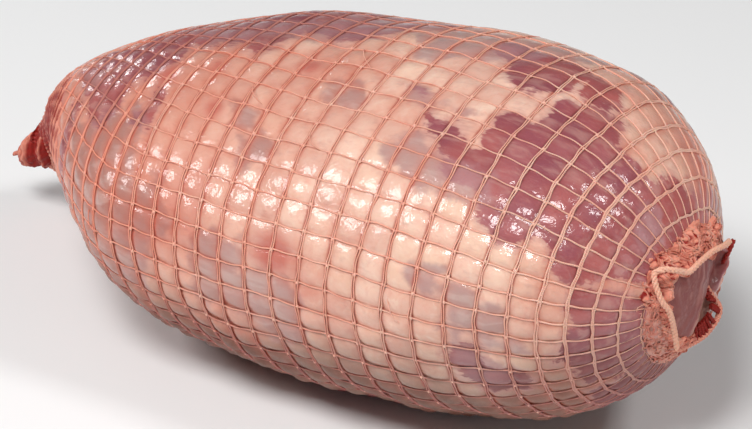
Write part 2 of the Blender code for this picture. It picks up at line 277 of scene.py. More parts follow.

# %% [markdown]
# ## Fat, lean meat, silverskin and blood
#
# A leg of lamb is mostly covered in cream fat. Lean muscle shows through where the fat is trimmed, and a
# thin bluish membrane, the silverskin, lies over some of both. These are areas with an edge, so each is
# drawn here as an outline of a few corners in ring and strand numbers. The far side, which the photograph
# doesn't show, gets areas of the same kind. Spots of blood are round, so a middle will do, and so are the
# few cells of painted light and painted shade, made paler or darker than the lamps leave them.
#
# Instead of painting an image, each point of the mesh gets its signed distance to the outlines as an
# attribute, which the finish reads. Ripples in that distance make the edges uneven.

# %% The outlines, as corners (ring, strand)
LEAN_MEAT = {
    "ridge along the top": [
        (-14.9, 39.6), (-11.6, 37.2), (-10.4, 34), (-8.1, 33), (-5.6, 32.5), (-3.5, 31), (-0.9, 30.8),
        (0.5, 31.5), (-1.2, 33.4), (-2.5, 34.7), (-4.4, 34.8), (-4.7, 36.8), (-6.1, 36.2), (-8.5, 37),
        (-10, 38.6)],
    "shank": [
        (-14.6, 40.7), (-13, 39.2), (-10.3, 37.5), (-8.6, 36.8), (-8.2, 37.9), (-8.7, 39.2), (-9.6, 39.7),
        (-9.7, 40.9), (-9.9, 41.9), (-11, 42.3), (-12.2, 41.5), (-13.4, 41.6)],
    "shank spot": [(-8.5, 39.9), (-8.2, 39.3), (-7.6, 39.8), (-7.4, 41.2), (-8, 41)],
    "upper muscle": [
        (2.1, 33.2), (2.6, 32.3), (3.5, 32.1), (5, 31.7), (5.3, 32.6), (5, 34), (4.5, 34.9), (3.8, 34.7),
        (3, 34.3), (2.9, 33.7)],
    "thin muscle": [(4.9, 32.7), (5.5, 31.9), (6.3, 32.1), (6.9, 33), (6.5, 33.5), (5.8, 33.5)],
    "round": [
        (1.2, 36.5), (2.1, 37.1), (3.6, 37.6), (4.2, 37.7), (3.9, 36.8), (4.5, 36), (5.2, 36.1), (5.3, 34.8),
        (5.9, 33.5), (6.9, 33.7), (7.4, 33.4), (7.9, 34.7), (8.9, 34.8), (9.6, 34.4), (9.9, 32.3),
        (11.2, 30.3), (12.4, 31), (12.4, 39.5), (11.2, 41), (9.8, 41), (9.2, 41.9), (8.4, 42), (7.9, 40.9),
        (7.4, 40.4), (6.9, 40.9), (6.1, 40.9), (5.2, 40.7), (4.9, 39.6), (3.9, 39.3), (3, 38.8), (1.9, 37.4)],
    "shank side of the rump": [
        (8.8, 42.3), (10, 41.8), (12.4, 41.8), (12.4, 50.5), (11.5, 50), (10, 48.5), (9.2, 47.4), (8.9, 45.5),
        (9, 43.7)],
    "far shoulder": [(-15, 31), (-9, 28), (-3, 27), (-2, 23), (-7, 21), (-13, 23), (-16, 27)],
    "far round": [(2, 27), (6, 29), (9.5, 28.5), (10.5, 24), (8, 20), (3.5, 19), (1.2, 23)],
    "flank": [(5.1, 46.2), (5.7, 45.6), (6.6, 46.5), (7.3, 47.2), (7.2, 48.2), (6, 48.4), (5.3, 47.5)],
    "slots beside the knot": [
        (-12.9, 41.9), (-12.5, 41.7), (-12, 43.8), (-11.8, 46.4), (-12.3, 47.6), (-12.6, 45)],
    "streak at the rim": [(10.5, 25.5), (10.8, 31), (12.4, 30.5), (12.4, 25)],
    "underside": [(-6, 15), (-1, 17), (3, 15), (4.5, 12), (1, 10), (-4, 11)],
    "broad end underneath": [(9.4, 7.5), (8.6, 11), (9.6, 15), (10.5, 22), (12.4, 23), (12.4, 7.5)],
}
FAT_OVER_LEAN = {
    "tongue": [(3.5, 36.7), (4, 36.9), (4.5, 37.9), (4.1, 38.1), (3.6, 37.5)],
    "flap": [(7.7, 41.3), (8.5, 41.8), (8.85, 42.3), (8.8, 43), (8.2, 42.9), (7.5, 42.5)],
    "cap": [
        (6.2, 32), (6.6, 29.5), (7.8, 27.5), (9.4, 26.5), (10.4, 27.5), (10.4, 30), (9.6, 32.8), (8.4, 34),
        (7.5, 33.4), (6.9, 32.7)],
}
SILVERSKIN = {
    "shank": [
        (-12, 42.6), (-11.8, 43), (-10.4, 41.9), (-9.6, 41.2), (-8.5, 40.4), (-7.6, 40.6), (-7.2, 42),
        (-7.2, 43.3), (-6.3, 43.4), (-6.2, 45.2), (-6.5, 47.5), (-7.9, 48.7), (-8.8, 48.2), (-10.2, 47.6),
        (-11.4, 46.4), (-11.6, 45)],
    "stripe": [(-6.6, 42.2), (-5.8, 42), (-5.2, 44.8), (-6.1, 45.1)],
    "belly": [
        (-4.2, 44.4), (-3.2, 43.7), (-2.2, 43.7), (-2, 44.9), (-1, 44.8), (-0.2, 44.9), (0.2, 46.3),
        (-0.3, 48.1), (-1.4, 48.5), (-2, 47.3), (-3.1, 47.2), (-4.3, 47.3)],
    "pane": [(-3.5, 40.2), (-2.5, 39.9), (-2, 40.8), (-2.8, 41.6)],
    "upper pane": [(-4.6, 39.2), (-3.5, 39), (-2.9, 39.6), (-3.7, 40.1)],
    "edge of the round": [
        (1.4, 38.4), (2.4, 38), (3.6, 38.8), (5.2, 38.9), (5.2, 39.9), (4.2, 40.1), (2.2, 39.9), (1.6, 39.2)],
    "over the round": [(1.1, 36.3), (2.2, 36.5), (3.7, 36.4), (3.5, 37), (2.4, 37.1), (1.5, 37)],
    "flank": [(4.9, 45.1), (5.8, 45), (5.9, 46), (7.3, 47), (7.3, 48.1), (5.6, 48), (5.2, 46.6)],
    "light pane": [(3.9, 43.2), (4.8, 43), (4.9, 43.9), (4, 44.2)],
    "wide pane": [(5, 43.6), (6.8, 43.3), (6.8, 44.7), (7.5, 45), (7.4, 45.9), (6.2, 45.6), (5.1, 44.9)],
    "rump": [(9.7, 36.2), (10.3, 35.4), (11.3, 37.2), (11, 38.5), (10.3, 37.9)],
    "ridge": [(-10.5, 35.5), (-4.5, 33.4), (-1, 31.6), (0.2, 32.6), (-3, 35), (-8.5, 36.6)],
    "top pane": [(-1.8, 36.9), (-0.3, 36.7), (-0.1, 37.6), (-1.3, 38)],
    "rim": [(10.1, 24.5), (10.3, 31.5), (12.4, 31.5), (12.4, 24.5)],
    "top": [(3, 31), (0.5, 31.6), (-0.9, 33), (0.5, 34.6), (2.4, 33.9), (4.8, 31.2), (7, 29.6), (6.5, 28.6)],
    "far side": [(-12, 33), (-8, 31), (-4, 30), (-3, 27), (-9, 27.5), (-14, 31)],
    "underneath": [(-9, 12), (-4, 14), (-1, 18), (-6, 19), (-11, 16)],
    "far flank": [(0, 28), (4, 30), (6, 27), (3, 25), (0, 25)],
}
BLOOD = [  # ring, strand, radius in cells, strength
    (-0.8, 44.3, 0.75, 1.0), (-1.2, 43.6, 1.0, 0.5), (0.35, 45.3, 0.7, 0.6), (-5.0, 39.5, 0.5, 0.9),
    (-2.7, 36.5, 0.55, 1.1), (-6.1, 37.7, 0.5, 0.9), (-8.1, 38.8, 0.7, 1.0), (-15.5, 40.4, 1.6, 0.6),
    (-17.0, 39.0, 2.2, 0.6), (-4.2, 1.0, 2.4, 0.5), (-7.0, 3.4, 2.0, 0.4), (9.9, 29.8, 2.2, 1.0),
    (10.5, 41.2, 1.2, 0.5), (-2.0, 20.0, 0.9, 0.8), (6.0, 18.0, 0.8, 0.7), (-9.0, 25.0, 0.8, 0.8)]
# Painted light and painted shade: cells made paler, or darker below 0, than the lamps leave them.
PAINTED_LIGHT_SPOTS = [  # ring, strand, radius in cells, and how much paler or, below 0, darker
    (3.8, 33.6, math.sqrt(8), -1.0), (7.0, 0.5, math.sqrt(5), 0.8)]


def signed_distance(ring, strand, outline):
    """Distance to an outline in cells, positive inside: the least distance to its edges, with the sign
    from how often a line from the point crosses them. The strand is first moved by whole turns to lie near
    the outline."""
    corners = np.array(outline, float)
    strand = strand + STRANDS * np.round((corners[:, 1].mean() - strand) / STRANDS)
    nearest = np.full(ring.shape, np.inf)
    inside = np.zeros(ring.shape, bool)
    for (r0, s0), (r1, s1) in zip(corners, np.roll(corners, -1, axis=0)):
        dr, ds = r1 - r0, s1 - s0
        t = np.clip(((ring - r0) * dr + (strand - s0) * ds) / (dr * dr + ds * ds), 0, 1)
        nearest = np.minimum(nearest, np.hypot(ring - r0 - t * dr, strand - s0 - t * ds))
        crosses = (s0 > strand) != (s1 > strand)
        inside ^= crosses & (ring < r0 + (strand - s0) * dr / (ds if ds else 1))
    return np.where(inside, nearest, -nearest)


def area(ring, strand, outlines, edge):
    """0 outside all outlines, 1 inside one, with a soft edge, that many cells wide, at the outline."""
    distance = np.max([signed_distance(ring, strand, outline) for outline in outlines.values()], axis=0)
    return np.clip(0.5 + distance / edge, 0, 1)


def spots(ring, strand, table):
    """The sum of round spots, each its strength times exp(-(distance / radius) ** 2)."""
    return sum(much * np.exp(-((ring - middle) ** 2 + strands_from(strand, across) ** 2) / radius ** 2)
               for middle, across, radius, much in table)


print("areas", len(LEAN_MEAT), "of lean meat", len(FAT_OVER_LEAN), "of fat", len(SILVERSKIN), "of silverskin")

# %% [markdown]
# ## A grid as a mesh
#
# Nearly every piece here is a grid of points that closes on itself like a tube. The pieces differ in their
# formula, and share the few lines that turn the grid into faces, close its ends on two poles and make an
# object of it. The corners of each face run anticlockwise, seen from outside, so that faces point outwards.

# %% Helpers that put a grid into a mesh
def grid_faces(rows, columns, looped=False):
    """Quads of a grid that closes from its last column to its first, and from its last row too if looped."""
    at = np.arange(rows * columns).reshape(rows, columns)
    if looped:
        at = np.concatenate([at, at[:1]])
    right = np.roll(at, -1, axis=1)
    return stacked(at[:-1], right[:-1], right[1:], at[1:]).reshape(-1, 4)


def capped_faces(rows, columns, way=1):
    """The quads of a grid and a fan of triangles at each end, to two poles numbered after its points. The
    way -1 winds them all the other way round, for rows that run against the turn of the columns."""
    count = rows * columns
    first, last = np.arange(columns), np.arange(count - columns, count)
    fans = [stacked(np.roll(first, -1), first, count), stacked(last, np.roll(last, -1), count + 1)]
    return [face[::way] for faces in (grid_faces(rows, columns), *fans) for face in faces.tolist()]


def above_floor(points):
    """The points, with any that would be under the floor lifted onto it."""
    return np.maximum(points, [-np.inf, -np.inf, 0])


def add_piece(name, points, faces, finish, values=None, uv=None):
    """A mesh object from points and lists of corners, smooth shaded, with named values at its points."""
    mesh = bpy.data.meshes.new(name)
    mesh.from_pydata(points.reshape(-1, 3).tolist(), [], faces)
    mesh.polygons.foreach_set("use_smooth", np.ones(len(mesh.polygons), bool))
    for key, value in (values or {}).items():
        value = np.ascontiguousarray(value, np.float32).ravel()
        mesh.attributes.new(key, "FLOAT", "POINT").data.foreach_set("value", value)
    if uv is not None:
        uv = np.ascontiguousarray(uv, np.float32).ravel()
        mesh.uv_layers.new(name="UVMap").data.foreach_set("uv", uv)
    mesh.materials.append(finish.material)
    piece = bpy.data.objects.new(name, mesh)
    bpy.context.scene.collection.objects.link(piece)
    print(name, "points", len(mesh.vertices), "triangles", sum(len(p.vertices) - 2 for p in mesh.polygons))
    return piece


# %% [markdown]
# ## Making a finish
#
# A finish is a few lines of nodes. To keep them readable, one small class holds a material, makes a node
# from what it is given and returns the socket that the node fills. Colours are then layers, one over the
# other, each with a share of the surface that it covers.

# %% A material whose nodes are made by name
class Finish:
    """A material with a Principled shader. Each method adds one node and returns its result."""

    def __init__(self, name):
        self.material = bpy.data.materials.new(name)
        self.material.use_nodes = True
        self.tree = self.material.node_tree

    def fill(self, node, inputs):
        """Sets the inputs of a node to values, or links them to the results of other nodes."""
        for key, value in inputs.items():
            if isinstance(value, bpy.types.NodeSocket):
                self.tree.links.new(value, node.inputs[key])
            else:
                node.inputs[key].default_value = value

    def add(self, kind, inputs, **switches):
        """A new node, with its switches set and its inputs filled."""
        node = self.tree.nodes.new(kind)
        for key, value in switches.items():
            setattr(node, key, value)
        self.fill(node, inputs)
        return node.outputs

    def shade(self, inputs):
        """Fills the inputs of the shader."""
        self.fill(self.tree.nodes["Principled BSDF"], inputs)
        print(self.material.name, "nodes", len(self.tree.nodes))

    def value(self, name):
        """The named value at the points of the mesh."""
        return self.add("ShaderNodeAttribute", {}, attribute_name=name)["Fac"]

    def noise(self, place, scale, detail=3.0, distortion=0.0):
        """Cloudy noise, between 0 and 1, about 1 / scale metres across."""
        inputs = {"Vector": place, "Scale": scale, "Detail": detail, "Distortion": distortion}
        return self.add("ShaderNodeTexNoise", inputs)["Fac"]

    def ramp(self, value, low, high, to_high=1.0, to_low=0.0):
        """The value carried smoothly from its range low to high to another range, and kept in it."""
        inputs = {"Value": value, "From Min": low, "From Max": high, "To Min": to_low, "To Max": to_high}
        return self.add("ShaderNodeMapRange", inputs, interpolation_type="SMOOTHSTEP")["Result"]

    def reckon(self, how, *numbers):
        """One sum of two or three numbers."""
        return self.add("ShaderNodeMath", dict(enumerate(numbers)), operation=how)[0]

    def times(self, first, second):
        """The product of two numbers."""
        return self.reckon("MULTIPLY", first, second)

    def total(self, start, *terms):
        """The start plus each term's value times its factor."""
        for value, factor in terms:
            start = self.reckon("MULTIPLY_ADD", value, factor, start)
        return start

    def layers(self, colour, *covers):
        """A colour with others laid over it, one after another, each given as its share and itself."""
        for share, cover in covers:
            first, second = (c if isinstance(c, bpy.types.NodeSocket) else (*c, 1) for c in (colour, cover))
            colour = self.add("ShaderNodeMix", {0: share, 6: first, 7: second}, data_type="RGBA")[2]
        return colour

    def relief(self, height, depth):
        """The normal of a bump from a height of 0 to 1, half as strong as its depth would make it."""
        return self.add("ShaderNodeBump", {"Strength": 0.5, "Distance": depth, "Height": height})[0]


# %% [markdown]
# ## The finish of the meat
#
# The colour starts as fat, cream with pinker clouds and flecks. Silverskin tints it blue and mauve, muscle
# replaces it, and blood reddens it. Beside the threads it is redder, partly its own colour and partly painted
# shade, with a darker band of painted shade right at them. Painted shade also darkens the side that faces
# the table, and a few cells carry painted light or painted shade. Noise moves the edges of the areas, so they
# look torn and not cut. The wet film on the meat is a clear coat: it gives the sharp white glints.

# %% Fat, muscle, silverskin and the wet film
lamb = Finish("raw_lamb")
place = lamb.add("ShaderNodeTexCoord", {})["Object"]
clouds = lamb.noise(place, 45, 2)
patches = lamb.noise(place, 170, 3, 0.4)
wrinkles = lamb.noise(place, 420, 2, 0.8)
flecks = lamb.noise(place, 330, 4, 0.7)
fine = lamb.noise(place, 1100, 3)
stretch = {"Vector": place, "Scale": (0.22, 1.0, 1.0), "Rotation": (0, 0.15, -0.25)}
long_way = lamb.add("ShaderNodeMapping", stretch)[0]
fibres = lamb.noise(long_way, 900, 3, 0.3)
bundles = lamb.noise(long_way, 230, 3, 0.5)

# The value under is painted shade where the skin faces the table.
own, salmon, under, beside, streaked = (
    lamb.value(name) for name in ("cell_tone_and_painted_light", "salmon", "under", "thread_red_and_shade", "face_streaks"))
lean_value = lamb.total(-0.8, (fibres, 0.7), (patches, 0.9), (lamb.value("lean"), 1.0))
lean = lamb.ramp(lean_value, 0.42, 0.62)
skinned = lamb.total(-0.4, (own, 0.22), (patches, 0.8), (lamb.value("silverskin"), 1.0))
skinned = lamb.ramp(skinned, 0.3, 0.7)

veil = lamb.layers(
    (0.46, 0.27, 0.25),
    (salmon, (0.40, 0.19, 0.16)),
    (lamb.ramp(bundles, 0.5, 0.65, 0.5), (0.58, 0.42, 0.38)))
fat = lamb.layers(
    (0.87, 0.585, 0.46),
    (lamb.ramp(clouds, 0.35, 0.65), (0.82, 0.49, 0.375)),
    (lamb.ramp(patches, 0.5, 0.75, 0.4), (0.85, 0.58, 0.45)),
    (lamb.ramp(flecks, 0.52, 0.68, 0.3), (0.76, 0.33, 0.25)),
    (lamb.ramp(flecks, 0.48, 0.34, 0.4), (0.90, 0.68, 0.54)),
    # own also carries painted light and painted shade: a few cells and the broad end made paler or darker
    (lamb.ramp(own, 0.1, 0.9, 0.5), (0.85, 0.57, 0.42)),  # each cell is paler or redder
    (lamb.ramp(own, -0.1, -0.9, 0.5), (0.64, 0.32, 0.25)),
    (lamb.times(salmon, 0.92), (0.66, 0.275, 0.20)),  # more salmon at the narrow end
    # painted shade: the fat is darkened where it faces the table
    (lamb.times(under, 0.92), (0.13, 0.05, 0.03)),  # dark where it faces the table
    (lamb.times(skinned, 0.88), veil),
    (lamb.ramp(lean_value, 0.02, 0.5, 0.45), (0.46, 0.21, 0.20)))  # lean shows through its thin edge
muscle = lamb.layers(
    (0.30, 0.075, 0.095),
    (lamb.ramp(clouds, 0.35, 0.65), (0.43, 0.105, 0.095)),
    (lamb.ramp(fibres, 0.45, 0.8, 0.4), (0.52, 0.21, 0.19)),
    # the same values lighten and darken the muscle, partly as painted light and painted shade
    (lamb.ramp(own, 0.0, 0.9, 0.3), (0.50, 0.17, 0.16)),
    (lamb.ramp(own, 0.0, -0.9, 0.35), (0.22, 0.055, 0.075)),
    (lamb.ramp(bundles, 0.50, 0.66, 0.5), (0.55, 0.29, 0.25)),  # pale sinews along the fibres
    (lamb.times(skinned, 0.65), (0.44, 0.23, 0.24)),
    # painted shade: the muscle is darkened where it faces the table
    (lamb.ramp(under, -0.2, 0.8, 0.75), (0.17, 0.04, 0.035)))
# Red beside the threads, more at the narrow end: partly the meat's own colour, partly painted shade.
thread_red_and_shade = lamb.times(beside, lamb.ramp(patches, 0.3, 0.7, 0.85, 0.25))
thread_red_and_shade = lamb.times(thread_red_and_shade, lamb.total(0.55, (salmon, 0.65)))
colour = lamb.layers(
    fat,
    (lean, muscle),
    # red beside the threads, partly painted shade
    (thread_red_and_shade, lamb.layers((0.56, 0.14, 0.08), (lean, (0.25, 0.045, 0.045)))),
    # painted shade: a darker red band right beside the threads
    (lamb.ramp(beside, 0.6, 0.94, 0.8), lamb.layers((0.42, 0.08, 0.05), (lean, (0.17, 0.03, 0.03)))),
    (lamb.ramp(lamb.value("blood"), 0.1, 1.2, 0.8), (0.50, 0.09, 0.065)),
    (lamb.ramp(streaked, 0.05, 0.4, 0.6), (0.24, 0.06, 0.05)),
    (lamb.ramp(streaked, 0.55, 1.0, 0.6), (0.42, 0.17, 0.145)))
grain = lamb.total(0.0, (fine, 0.12), (patches, 0.4), (wrinkles, 0.45))
lamb.shade({
    "Base Color": colour, "Roughness": lamb.ramp(fine, 0.3, 0.7, 0.58, 0.42), "Specular IOR Level": 0.3,
    "Subsurface Weight": 0.15, "Subsurface Radius": (1.0, 0.4, 0.25), "Subsurface Scale": 2.0 * MM,
    "Coat Weight": lamb.total(0.8, (lamb.value("dry"), -0.8)), "Coat Roughness": 0.09,
    "Normal": lamb.relief(grain, 1.0 * MM), "Coat Normal": lamb.relief(grain, 1.0 * MM)})

# %% [markdown]
# ## The mouth of the net
#
# At the broad end the net stops short of the middle and leaves a patch of meat bare. The cut end of the
# meat is not round, so a few lengths in different directions give the outline of the bare face. The same
# outline carries the frill later, so the meat and the net can't come apart.

# %% Places round the mouth
MOUTH = skin(LEG, 0.0) * [1, 1, 0] + [0, 0, 6.5 * MM] - MIDDLE  # middle of the mouth
FACE_ANGLES = np.radians([26, 55, 82, 145, 189, 217, 239, 259, 276, 288, 326])
FACE_REACH = np.array([13.1, 16.6, 14.9, 13.0, 12.5, 13.6, 12.4, 13.8, 18.6, 18.8, 12.0]) * MM


def face_reach(angle):
    """How far the bare face reaches from the mouth's middle, in each direction round it."""
    return np.interp(np.mod(angle, TURN), FACE_ANGLES, FACE_REACH, period=TURN)


def round_mouth(x, reach, angle):
    """Points at a reach from the mouth's middle: x, then -sine and cosine of the angle times the reach."""
    return stacked(x - MIDDLE[0], MOUTH[1] - reach * np.sin(angle), MOUTH[2] + reach * np.cos(angle))


def mouth_slope(angle, share):
    """Points between ring 12 and the rim of the bare face, on straight lines that bulge by 1 mm, and the way
    out from them."""
    angle, share = np.broadcast_arrays(angle, share)
    start = woven(LAST_RING, np.degrees(angle - strand_angle(LAST_RING, 0)) * STRANDS / 360)
    end = round_mouth(260.6 * MM, face_reach(angle) + 0.3 * MM, angle)
    out = unit(stacked(0.9, -np.sin(angle), np.cos(angle)))
    bulge = 1.0 * MM * np.sin(math.pi * share)
    return start + (end - start) * share[..., None] + out * bulge[..., None], out


print("bare face reaches, mm", np.round([FACE_REACH.min() / MM, FACE_REACH.max() / MM], 1).tolist())

# %% [markdown]
# ## Building the meat
#
# The meat is one closed surface, a grid of rows across the leg and columns along it. It starts under the
# knot, runs over all the cushions, dips under the frill and ends in the bare face, which has two flat
# planes that meet in a ridge. About eight columns and seven rows for each cell are enough for a smooth
# cushion and keep the piece under 200,000 triangles. The rows are closer together than the eye needs,
# because the light shows every flat facet on a wet surface.

# %% The rows under the net, and the values that the finish reads there
COLUMNS = STRANDS * 8
columns = np.arange(COLUMNS) / 8
ring, strand = np.meshgrid(np.linspace(-21.4, LAST_RING, 234), columns, indexing="ij")
point, normal, ring_step, strand_step = lie(ring, strand)
place_in_net = stacked(ring, strand)
ripple, other_ripple = (0.22 * waves(place_in_net, 2.2, seed) for seed in (11, 12))
lean_share = area(ring + ripple, strand + other_ripple, LEAN_MEAT, 0.9)
fat_share = area(ring + 0.5 * ripple, strand + 0.5 * other_ripple, FAT_OVER_LEAN, 0.5)
lean_share = np.minimum(lean_share, 1 - fat_share)
silver_share = area(ring + other_ripple, strand + ripple, SILVERSKIN, 1.1)
drawn_share = drawn_together(ring, strand)
blood_share = spots(ring, strand, BLOOD) + 1.1 * drawn_share
# Painted shade: the skin is darkened by how much it faces the table.
painted_shade_under = np.clip(turned_under(normal) + 0.1 * waves(point, 40 * MM, 6), -1, 1)
salmon_share = 0.70 - (point[..., 0] + 0.02) / 0.11 + 0.5 * np.clip((point[..., 0] - 0.082) / 0.015, 0, 2)
salmon_share = np.clip(salmon_share + 0.25 * waves(point, 45 * MM, 5), 0, 1)

softness = np.clip(1.15 - 0.8 * normal[..., 2], 0.45, 1.4) * (1 - 0.1 * lean_share) * (1 - 0.8 * drawn_share)
height, red_and_shade_share, tone_and_painted_light = cushion(ring, strand, ring_step, strand_step, softness)
height = height + swelling(point) + 0.10 * MM * waves(point, 6 * MM, 4) * softness
# Painted light: cells round strand 2 at the broad end are made paler; then the spots of painted light and
# painted shade.
tone_and_painted_light += 0.9 * ease(ring, 8.8, 10.3) * np.exp(-strands_from(strand, 2.0) ** 2 / 30)
tone_and_painted_light += spots(ring, strand, PAINTED_LIGHT_SPOTS)
body = point + normal * height[..., None]
print("cushions rise to, mm", round(height.max() / MM, 2), "furrows sink to, mm", round(height.min() / MM, 2))

# %% The slope to the face, and the face
FACE_X = np.array([260.8, 261.5, 262, 262.4, 262.6, 262.7, 262.75, 262.8, 262.8, 262.8, 262.8, 262.8]) * MM
FACE_SHARES = [1, 0.98, 0.93, 0.86, 0.77, 0.67, 0.57, 0.47, 0.37, 0.27, 0.17, 0.08]  # of the face's reach
last_angle = strand_angle(LAST_RING, columns)
slope_rows, slope_out = mouth_slope(last_angle, np.linspace(0.1, 0.9, 10)[:, None])
slope_rows = slope_rows + slope_out * (0.35 * MM * waves(slope_rows, 3.5 * MM, 22) + 0.1 * MM)[..., None]

turned = np.array(FACE_SHARES)[:, None]
reach = face_reach(last_angle) * turned + 0.2 * MM * (turned == 1)
face_rows = round_mouth(FACE_X[:, None], reach, last_angle)
face_side, face_rise = face_rows[..., 1] - MOUTH[1], face_rows[..., 2] - MOUTH[2]
plane_left = 0.05 * face_side
plane_right = -0.34 * (face_side - 0.6 * MM - 0.32 * face_rise)
flat = ease(turned, 1.0, 0.9)
face_rows[..., 0] += flat * np.minimum(plane_left, plane_right) + 0.25 * MM * waves(face_rows, 5 * MM, 21)
seam = np.exp(-((plane_left - plane_right) / (0.35 * MM)) ** 2) * ease(face_rise, 5 * MM, 2 * MM)
fatty_rim = ease(turned, 0.42, 0.56) * ease(np.cos(last_angle - math.radians(204)), 0.6, 0.8)
on_face = ease(turned, 1.0, 0.95)
streak_places = stacked(face_side * 1.6 - 0.5 * face_rise, face_rise * 0.25)
streaks = np.clip(0.55 + 0.3 * waves(streak_places, 4 * MM, 31) + 0.45 * seam, 0, 1) * on_face
print("rows on the slope and the face", len(slope_rows), len(face_rows))

# %% One closed surface from the knot to the face
tip = settled(np.array([7.5, 2, -24]) * MM)
tip_rows = tip + (body[0] - tip) * np.array([0.15, 0.5, 0.8])[:, None, None]
rows = above_floor(np.concatenate([tip_rows, body, slope_rows, face_rows]))
poles = [tip, face_rows[-1].mean(axis=0)]


def whole(values, at_tip, at_face, slope_share=1.0, slope_more=0.0):
    """Values at the cushioned rows, carried on over the tip rows, the slope, the face rows and the two poles.
    The slope gets its share of a row near the net's edge, and some more."""
    at_face = np.broadcast_to(at_face, (len(face_rows), COLUMNS))
    on_slope = slope_more + slope_share * np.repeat(values[-3:-2], len(slope_rows), axis=0)
    filled = np.concatenate([np.full((len(tip_rows), COLUMNS), at_tip), values, on_slope, at_face])
    return np.concatenate([filled.ravel(), [at_tip, at_face[-1].mean()]])


# Painted shade: under darkens the underside and the tip under the knot, and on the bare face it deepens the
# cut meat.
meat_values = {
    "lean": whole(lean_share, 1.0, 1 - 0.8 * fatty_rim, 0.25),
    "silverskin": whole(silver_share, 0.0, 0.0, 0.0),
    "blood": whole(blood_share, 1.0, 0.0),
    "thread_red_and_shade": whole(red_and_shade_share, 1.0, 0.0),
    "cell_tone_and_painted_light": whole(tone_and_painted_light, 0.0, (1.8 * fatty_rim - 0.9) * on_face),
    "salmon": whole(salmon_share, 1.0, 0.4, 0.0, 1.0),
    "under": whole(painted_shade_under, 0.5, 0.5 * on_face * (1 - fatty_rim), 0.3),
    "dry": whole(np.maximum(0.75 * painted_shade_under, drawn_share), 1.0, 0.9 * on_face),
    "face_streaks": whole(0 * ring, 0.0, streaks)}
points = np.concatenate([rows.reshape(-1, 3), poles])
lamb_meat = add_piece("lamb_meat", points, capped_faces(len(rows), COLUMNS), lamb, meat_values)
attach(lamb_meat, "root")
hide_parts("meat")

# %% [markdown]
# ## Threads
#
# The net is knitted from covered rubber threads. A hair or curve object could give them thickness, but a
# tube made in the mesh keeps full control over the number of faces. A circle is carried along each path,
# held square to it, with one side always turned away from the meat. Many threads are made in one go,
# because their paths are rows of the same array.

# %% The finish of the elastic
def thread_finish(name, pale, deep, groove):
    """The finish of the elastic: pale or deep salmon by the value tint, stained where meat juice has soaked
    in and darker underneath as painted shade, dark red as painted shade in crevices and between threads and
    in places as its own darker tone, and with a rib that winds round the thread 1.6 times in a millimetre."""
    thread = Finish(name)
    place = thread.add("ShaderNodeTexCoord", {})
    along_thread, round_thread, _ = thread.add("ShaderNodeSeparateXYZ", {0: place["UV"]})
    colour = thread.layers(
        deep,
        (thread.value("tint"), pale),
        (thread.ramp(thread.noise(place["Object"], 120, 3), 0.35, 0.7, 0.3), groove),
        # juice staining, with painted shade underneath added to it
        (thread.value("stain_and_shade"), (0.42, 0.16, 0.15)),
        # painted shade: dark red in crevices, gaps and between threads; on the frill's threads and the knot
        # partly their own darker tone
        (thread.ramp(thread.value("painted_shade_and_tone"), 0.0, 1.0, 0.98), (0.27, 0.007, 0.004)))
    rib = thread.reckon("SINE", thread.total(0.0, (round_thread, TURN), (along_thread, 1.6 * TURN)))
    thread.shade({
        "Base Color": colour, "Roughness": 0.5, "Specular IOR Level": 0.2, "Subsurface Weight": 0.15,
        "Subsurface Scale": 1.0 * MM, "Coat Weight": 0.08, "Coat Roughness": 0.3,
        "Normal": thread.relief(rib, 0.12 * MM)})
    return thread


elastic = thread_finish("elastic_net_thread", (0.90, 0.54, 0.42), (0.83, 0.30, 0.205), (0.69, 0.19, 0.125))

# %% Tubes along many paths at once
def tubes(paths, outs, radii, sides, looped):
    """Points, faces and UV of tubes. Each path point gets a circle: radius times (cosine * out + sine *
    side), where side is the way along the path crossed with out. UV is millimetres along, turns round."""
    count, length = paths.shape[:2]
    spans = length if looped else length - 1
    if looped:
        ahead = unit(np.roll(paths, -1, axis=1) - np.roll(paths, 1, axis=1))
    else:
        ahead = unit(np.gradient(paths, axis=1))
    side = unit(np.cross(ahead, outs))
    out = np.cross(side, ahead)
    turn = round_steps(sides)[:, None]
    circle = np.cos(turn) * out[:, :, None] + np.sin(turn) * side[:, :, None]
    radii = np.broadcast_to(radii, (count, length))[..., None, None]
    points = above_floor(paths[:, :, None] + radii * circle)
    first = np.arange(count)[:, None, None] * length * sides
    faces = (first + grid_faces(length, sides, looped)).reshape(-1, 4).tolist()
    steps = np.linalg.norm(np.roll(paths, -1, axis=1) - paths, axis=2) / MM
    run = np.concatenate([np.zeros((count, 1)), np.cumsum(steps, axis=1)], axis=1)[..., None]
    low = np.arange(sides) / sides
    here, after, high = run[:, :spans], run[:, 1:spans + 1], low + 1 / sides
    uv = stacked(here, low, here, high, after, high, after, low).reshape(-1, 2)
    if not looped:
        ends = first[..., 0] + np.arange(sides)
        faces += ends[:, ::-1].tolist() + (ends + (length - 1) * sides).tolist()
        uv = np.concatenate([uv, np.zeros((2 * count * sides, 2))])
    return points.reshape(-1, 3), faces, uv


def gathered(parts):
    """Several tubes as one mesh: their points one after another, with each face's numbers moved on."""
    points, faces, uvs, start = [], [], [], 0
    for these, corners, uv in parts:
        faces += [[start + corner for corner in face] for face in corners]
        points.append(these)
        uvs.append(uv)
        start += len(these)
    return np.concatenate(points), faces, np.concatenate(uvs)


